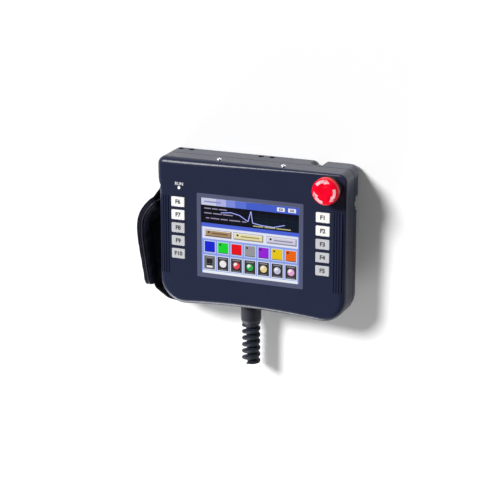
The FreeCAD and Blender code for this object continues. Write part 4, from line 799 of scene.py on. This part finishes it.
# Floor, lamps and camera.
# A plain pale sheet under the terminal with a white rim far off, soft light from the upper left, and the
# photo's own viewpoint.
SCREEN_CENTRE = Vector((0, 0, front_z))
CAMERA_YAW = math.radians(22.085)
CAMERA_LIFT = math.radians(16.915)
CAMERA_DISTANCE = 1.905
CAMERA_LENS = 125.2
CAMERA_SHIFT = (0.0012, -0.0184)
FLOOR_RADIUS = 12.0
BACKDROP_HEIGHT = 1.4
FLOOR_SIDES = 96
FLOOR_GLOW = 0.08
BACKDROP_GLOW = 1.0
KEY_PLACE = (-1.7, 1.75, 2.75)
KEY_ENERGY = 3.55
KEY_SPREAD = math.radians(17)
FOOT_PLACE = (-0.61, -1.05, 0.25)
FOOT_SIZE = (0.9, 0.34)
FOOT_ENERGY = 14.0
SKY_STRENGTH = 0.12
FIBRE = 3 * MM

# The rim stands round a wide disc, so that low views have no dark horizon, and keeps no light off the disc.
floor_mesh = bmesh.new()
bmesh.ops.create_circle(floor_mesh, cap_ends=True, segments=FLOOR_SIDES, radius=FLOOR_RADIUS)
rim = bmesh.ops.extrude_edge_only(floor_mesh, edges=floor_mesh.edges[:])["geom"]
rim_faces = [part for part in rim if isinstance(part, bmesh.types.BMFace)]
top_ring = [part for part in rim if isinstance(part, bmesh.types.BMVert)]
bmesh.ops.translate(floor_mesh, vec=(0, 0, BACKDROP_HEIGHT), verts=top_ring)
for face in rim_faces:
    face.material_index = 1
floor = bpy.data.objects.new("floor", finished_mesh(floor_mesh, "floor"))
floor.visible_shadow = False
bpy.context.scene.collection.objects.link(floor)
floor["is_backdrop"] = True
paper, paper_tree, paper_shader, place = start_material(
    "pale_paper", {"Roughness": 0.9, "Specular IOR Level": 0.1, "Emission Color": (1.0, 1.0, 1.0, 1.0)})
fibre = add(paper_tree, "ShaderNodeTexNoise", {"Vector": place, "Scale": 1 / FIBRE, "Detail": 3.0})
shade = add(paper_tree, "ShaderNodeMixRGB",
            {"Fac": fibre.outputs["Fac"], "Color1": linear("#f8f8f8"), "Color2": linear("#fcfcfc")})
paper_tree.links.new(shade.outputs["Color"], paper_shader.inputs["Base Color"])
backdrop, rim_tree, rim_shader, place = start_material("lit_backdrop", {
    "Roughness": 0.9, "Base Color": linear("#202020"), "Emission Color": (1.0, 1.0, 1.0, 1.0),
})
# Both show white to the camera and in reflections, and the floor keeps the shadow.
for tree, shader, strength in ((paper_tree, paper_shader, FLOOR_GLOW), (rim_tree, rim_shader, BACKDROP_GLOW)):
    ray = add(tree, "ShaderNodeLightPath", {})
    seen = ray.outputs["Is Camera Ray"]
    for kind in ("Is Glossy Ray", "Is Transmission Ray"):
        either = add(tree, "ShaderNodeMath", {0: seen, 1: ray.outputs[kind]}, operation="MAXIMUM")
        seen = either.outputs["Value"]
    glow = add(tree, "ShaderNodeMath", {0: seen, 1: strength}, operation="MULTIPLY")
    tree.links.new(glow.outputs["Value"], shader.inputs["Emission Strength"])
floor.data.materials.append(paper)
floor.data.materials.append(backdrop)

# The key is a broad soft light from far off, so that the floor is even.
# The foot lamp is a low strip at the lower left that lights the rim along the terminal's foot.
key_data = bpy.data.lights.new("key_light", "SUN")
key_data.energy = KEY_ENERGY
key_data.angle = KEY_SPREAD
foot_data = bpy.data.lights.new("foot_lamp", "AREA")
foot_data.shape = "RECTANGLE"
foot_data.size, foot_data.size_y = FOOT_SIZE
foot_data.energy = FOOT_ENERGY
for lamp_data, place in ((key_data, KEY_PLACE), (foot_data, FOOT_PLACE)):
    lamp = bpy.data.objects.new(lamp_data.name, lamp_data)
    lamp.location = place
    lamp.rotation_euler = (SCREEN_CENTRE - lamp.location).to_track_quat("-Z", "Y").to_euler()
    bpy.context.scene.collection.objects.link(lamp)

world = bpy.data.worlds.new("studio")
bpy.context.scene.world = world
world.use_nodes = True
sky = world.node_tree.nodes["Background"]
sky.inputs["Color"].default_value = (1.0, 1.0, 1.0, 1.0)
sky.inputs["Strength"].default_value = SKY_STRENGTH

toward = Vector((
    math.sin(CAMERA_YAW) * math.cos(CAMERA_LIFT),
    math.sin(CAMERA_LIFT),
    math.cos(CAMERA_YAW) * math.cos(CAMERA_LIFT),
))
across = Vector((0, 1, 0)).cross(toward).normalized()
upward = toward.cross(across)
camera_data = bpy.data.cameras.new("photo_view")
camera_data.lens = CAMERA_LENS
camera_data.shift_x, camera_data.shift_y = CAMERA_SHIFT
camera = bpy.data.objects.new("photo_view", camera_data)
turn = Matrix((across, upward, toward)).transposed().to_4x4()
camera.matrix_world = Matrix.Translation(SCREEN_CENTRE + toward * CAMERA_DISTANCE) @ turn
bpy.context.scene.collection.objects.link(camera)
bpy.context.scene.camera = camera
bpy.context.scene.view_settings.view_transform = "Standard"

low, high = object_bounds()
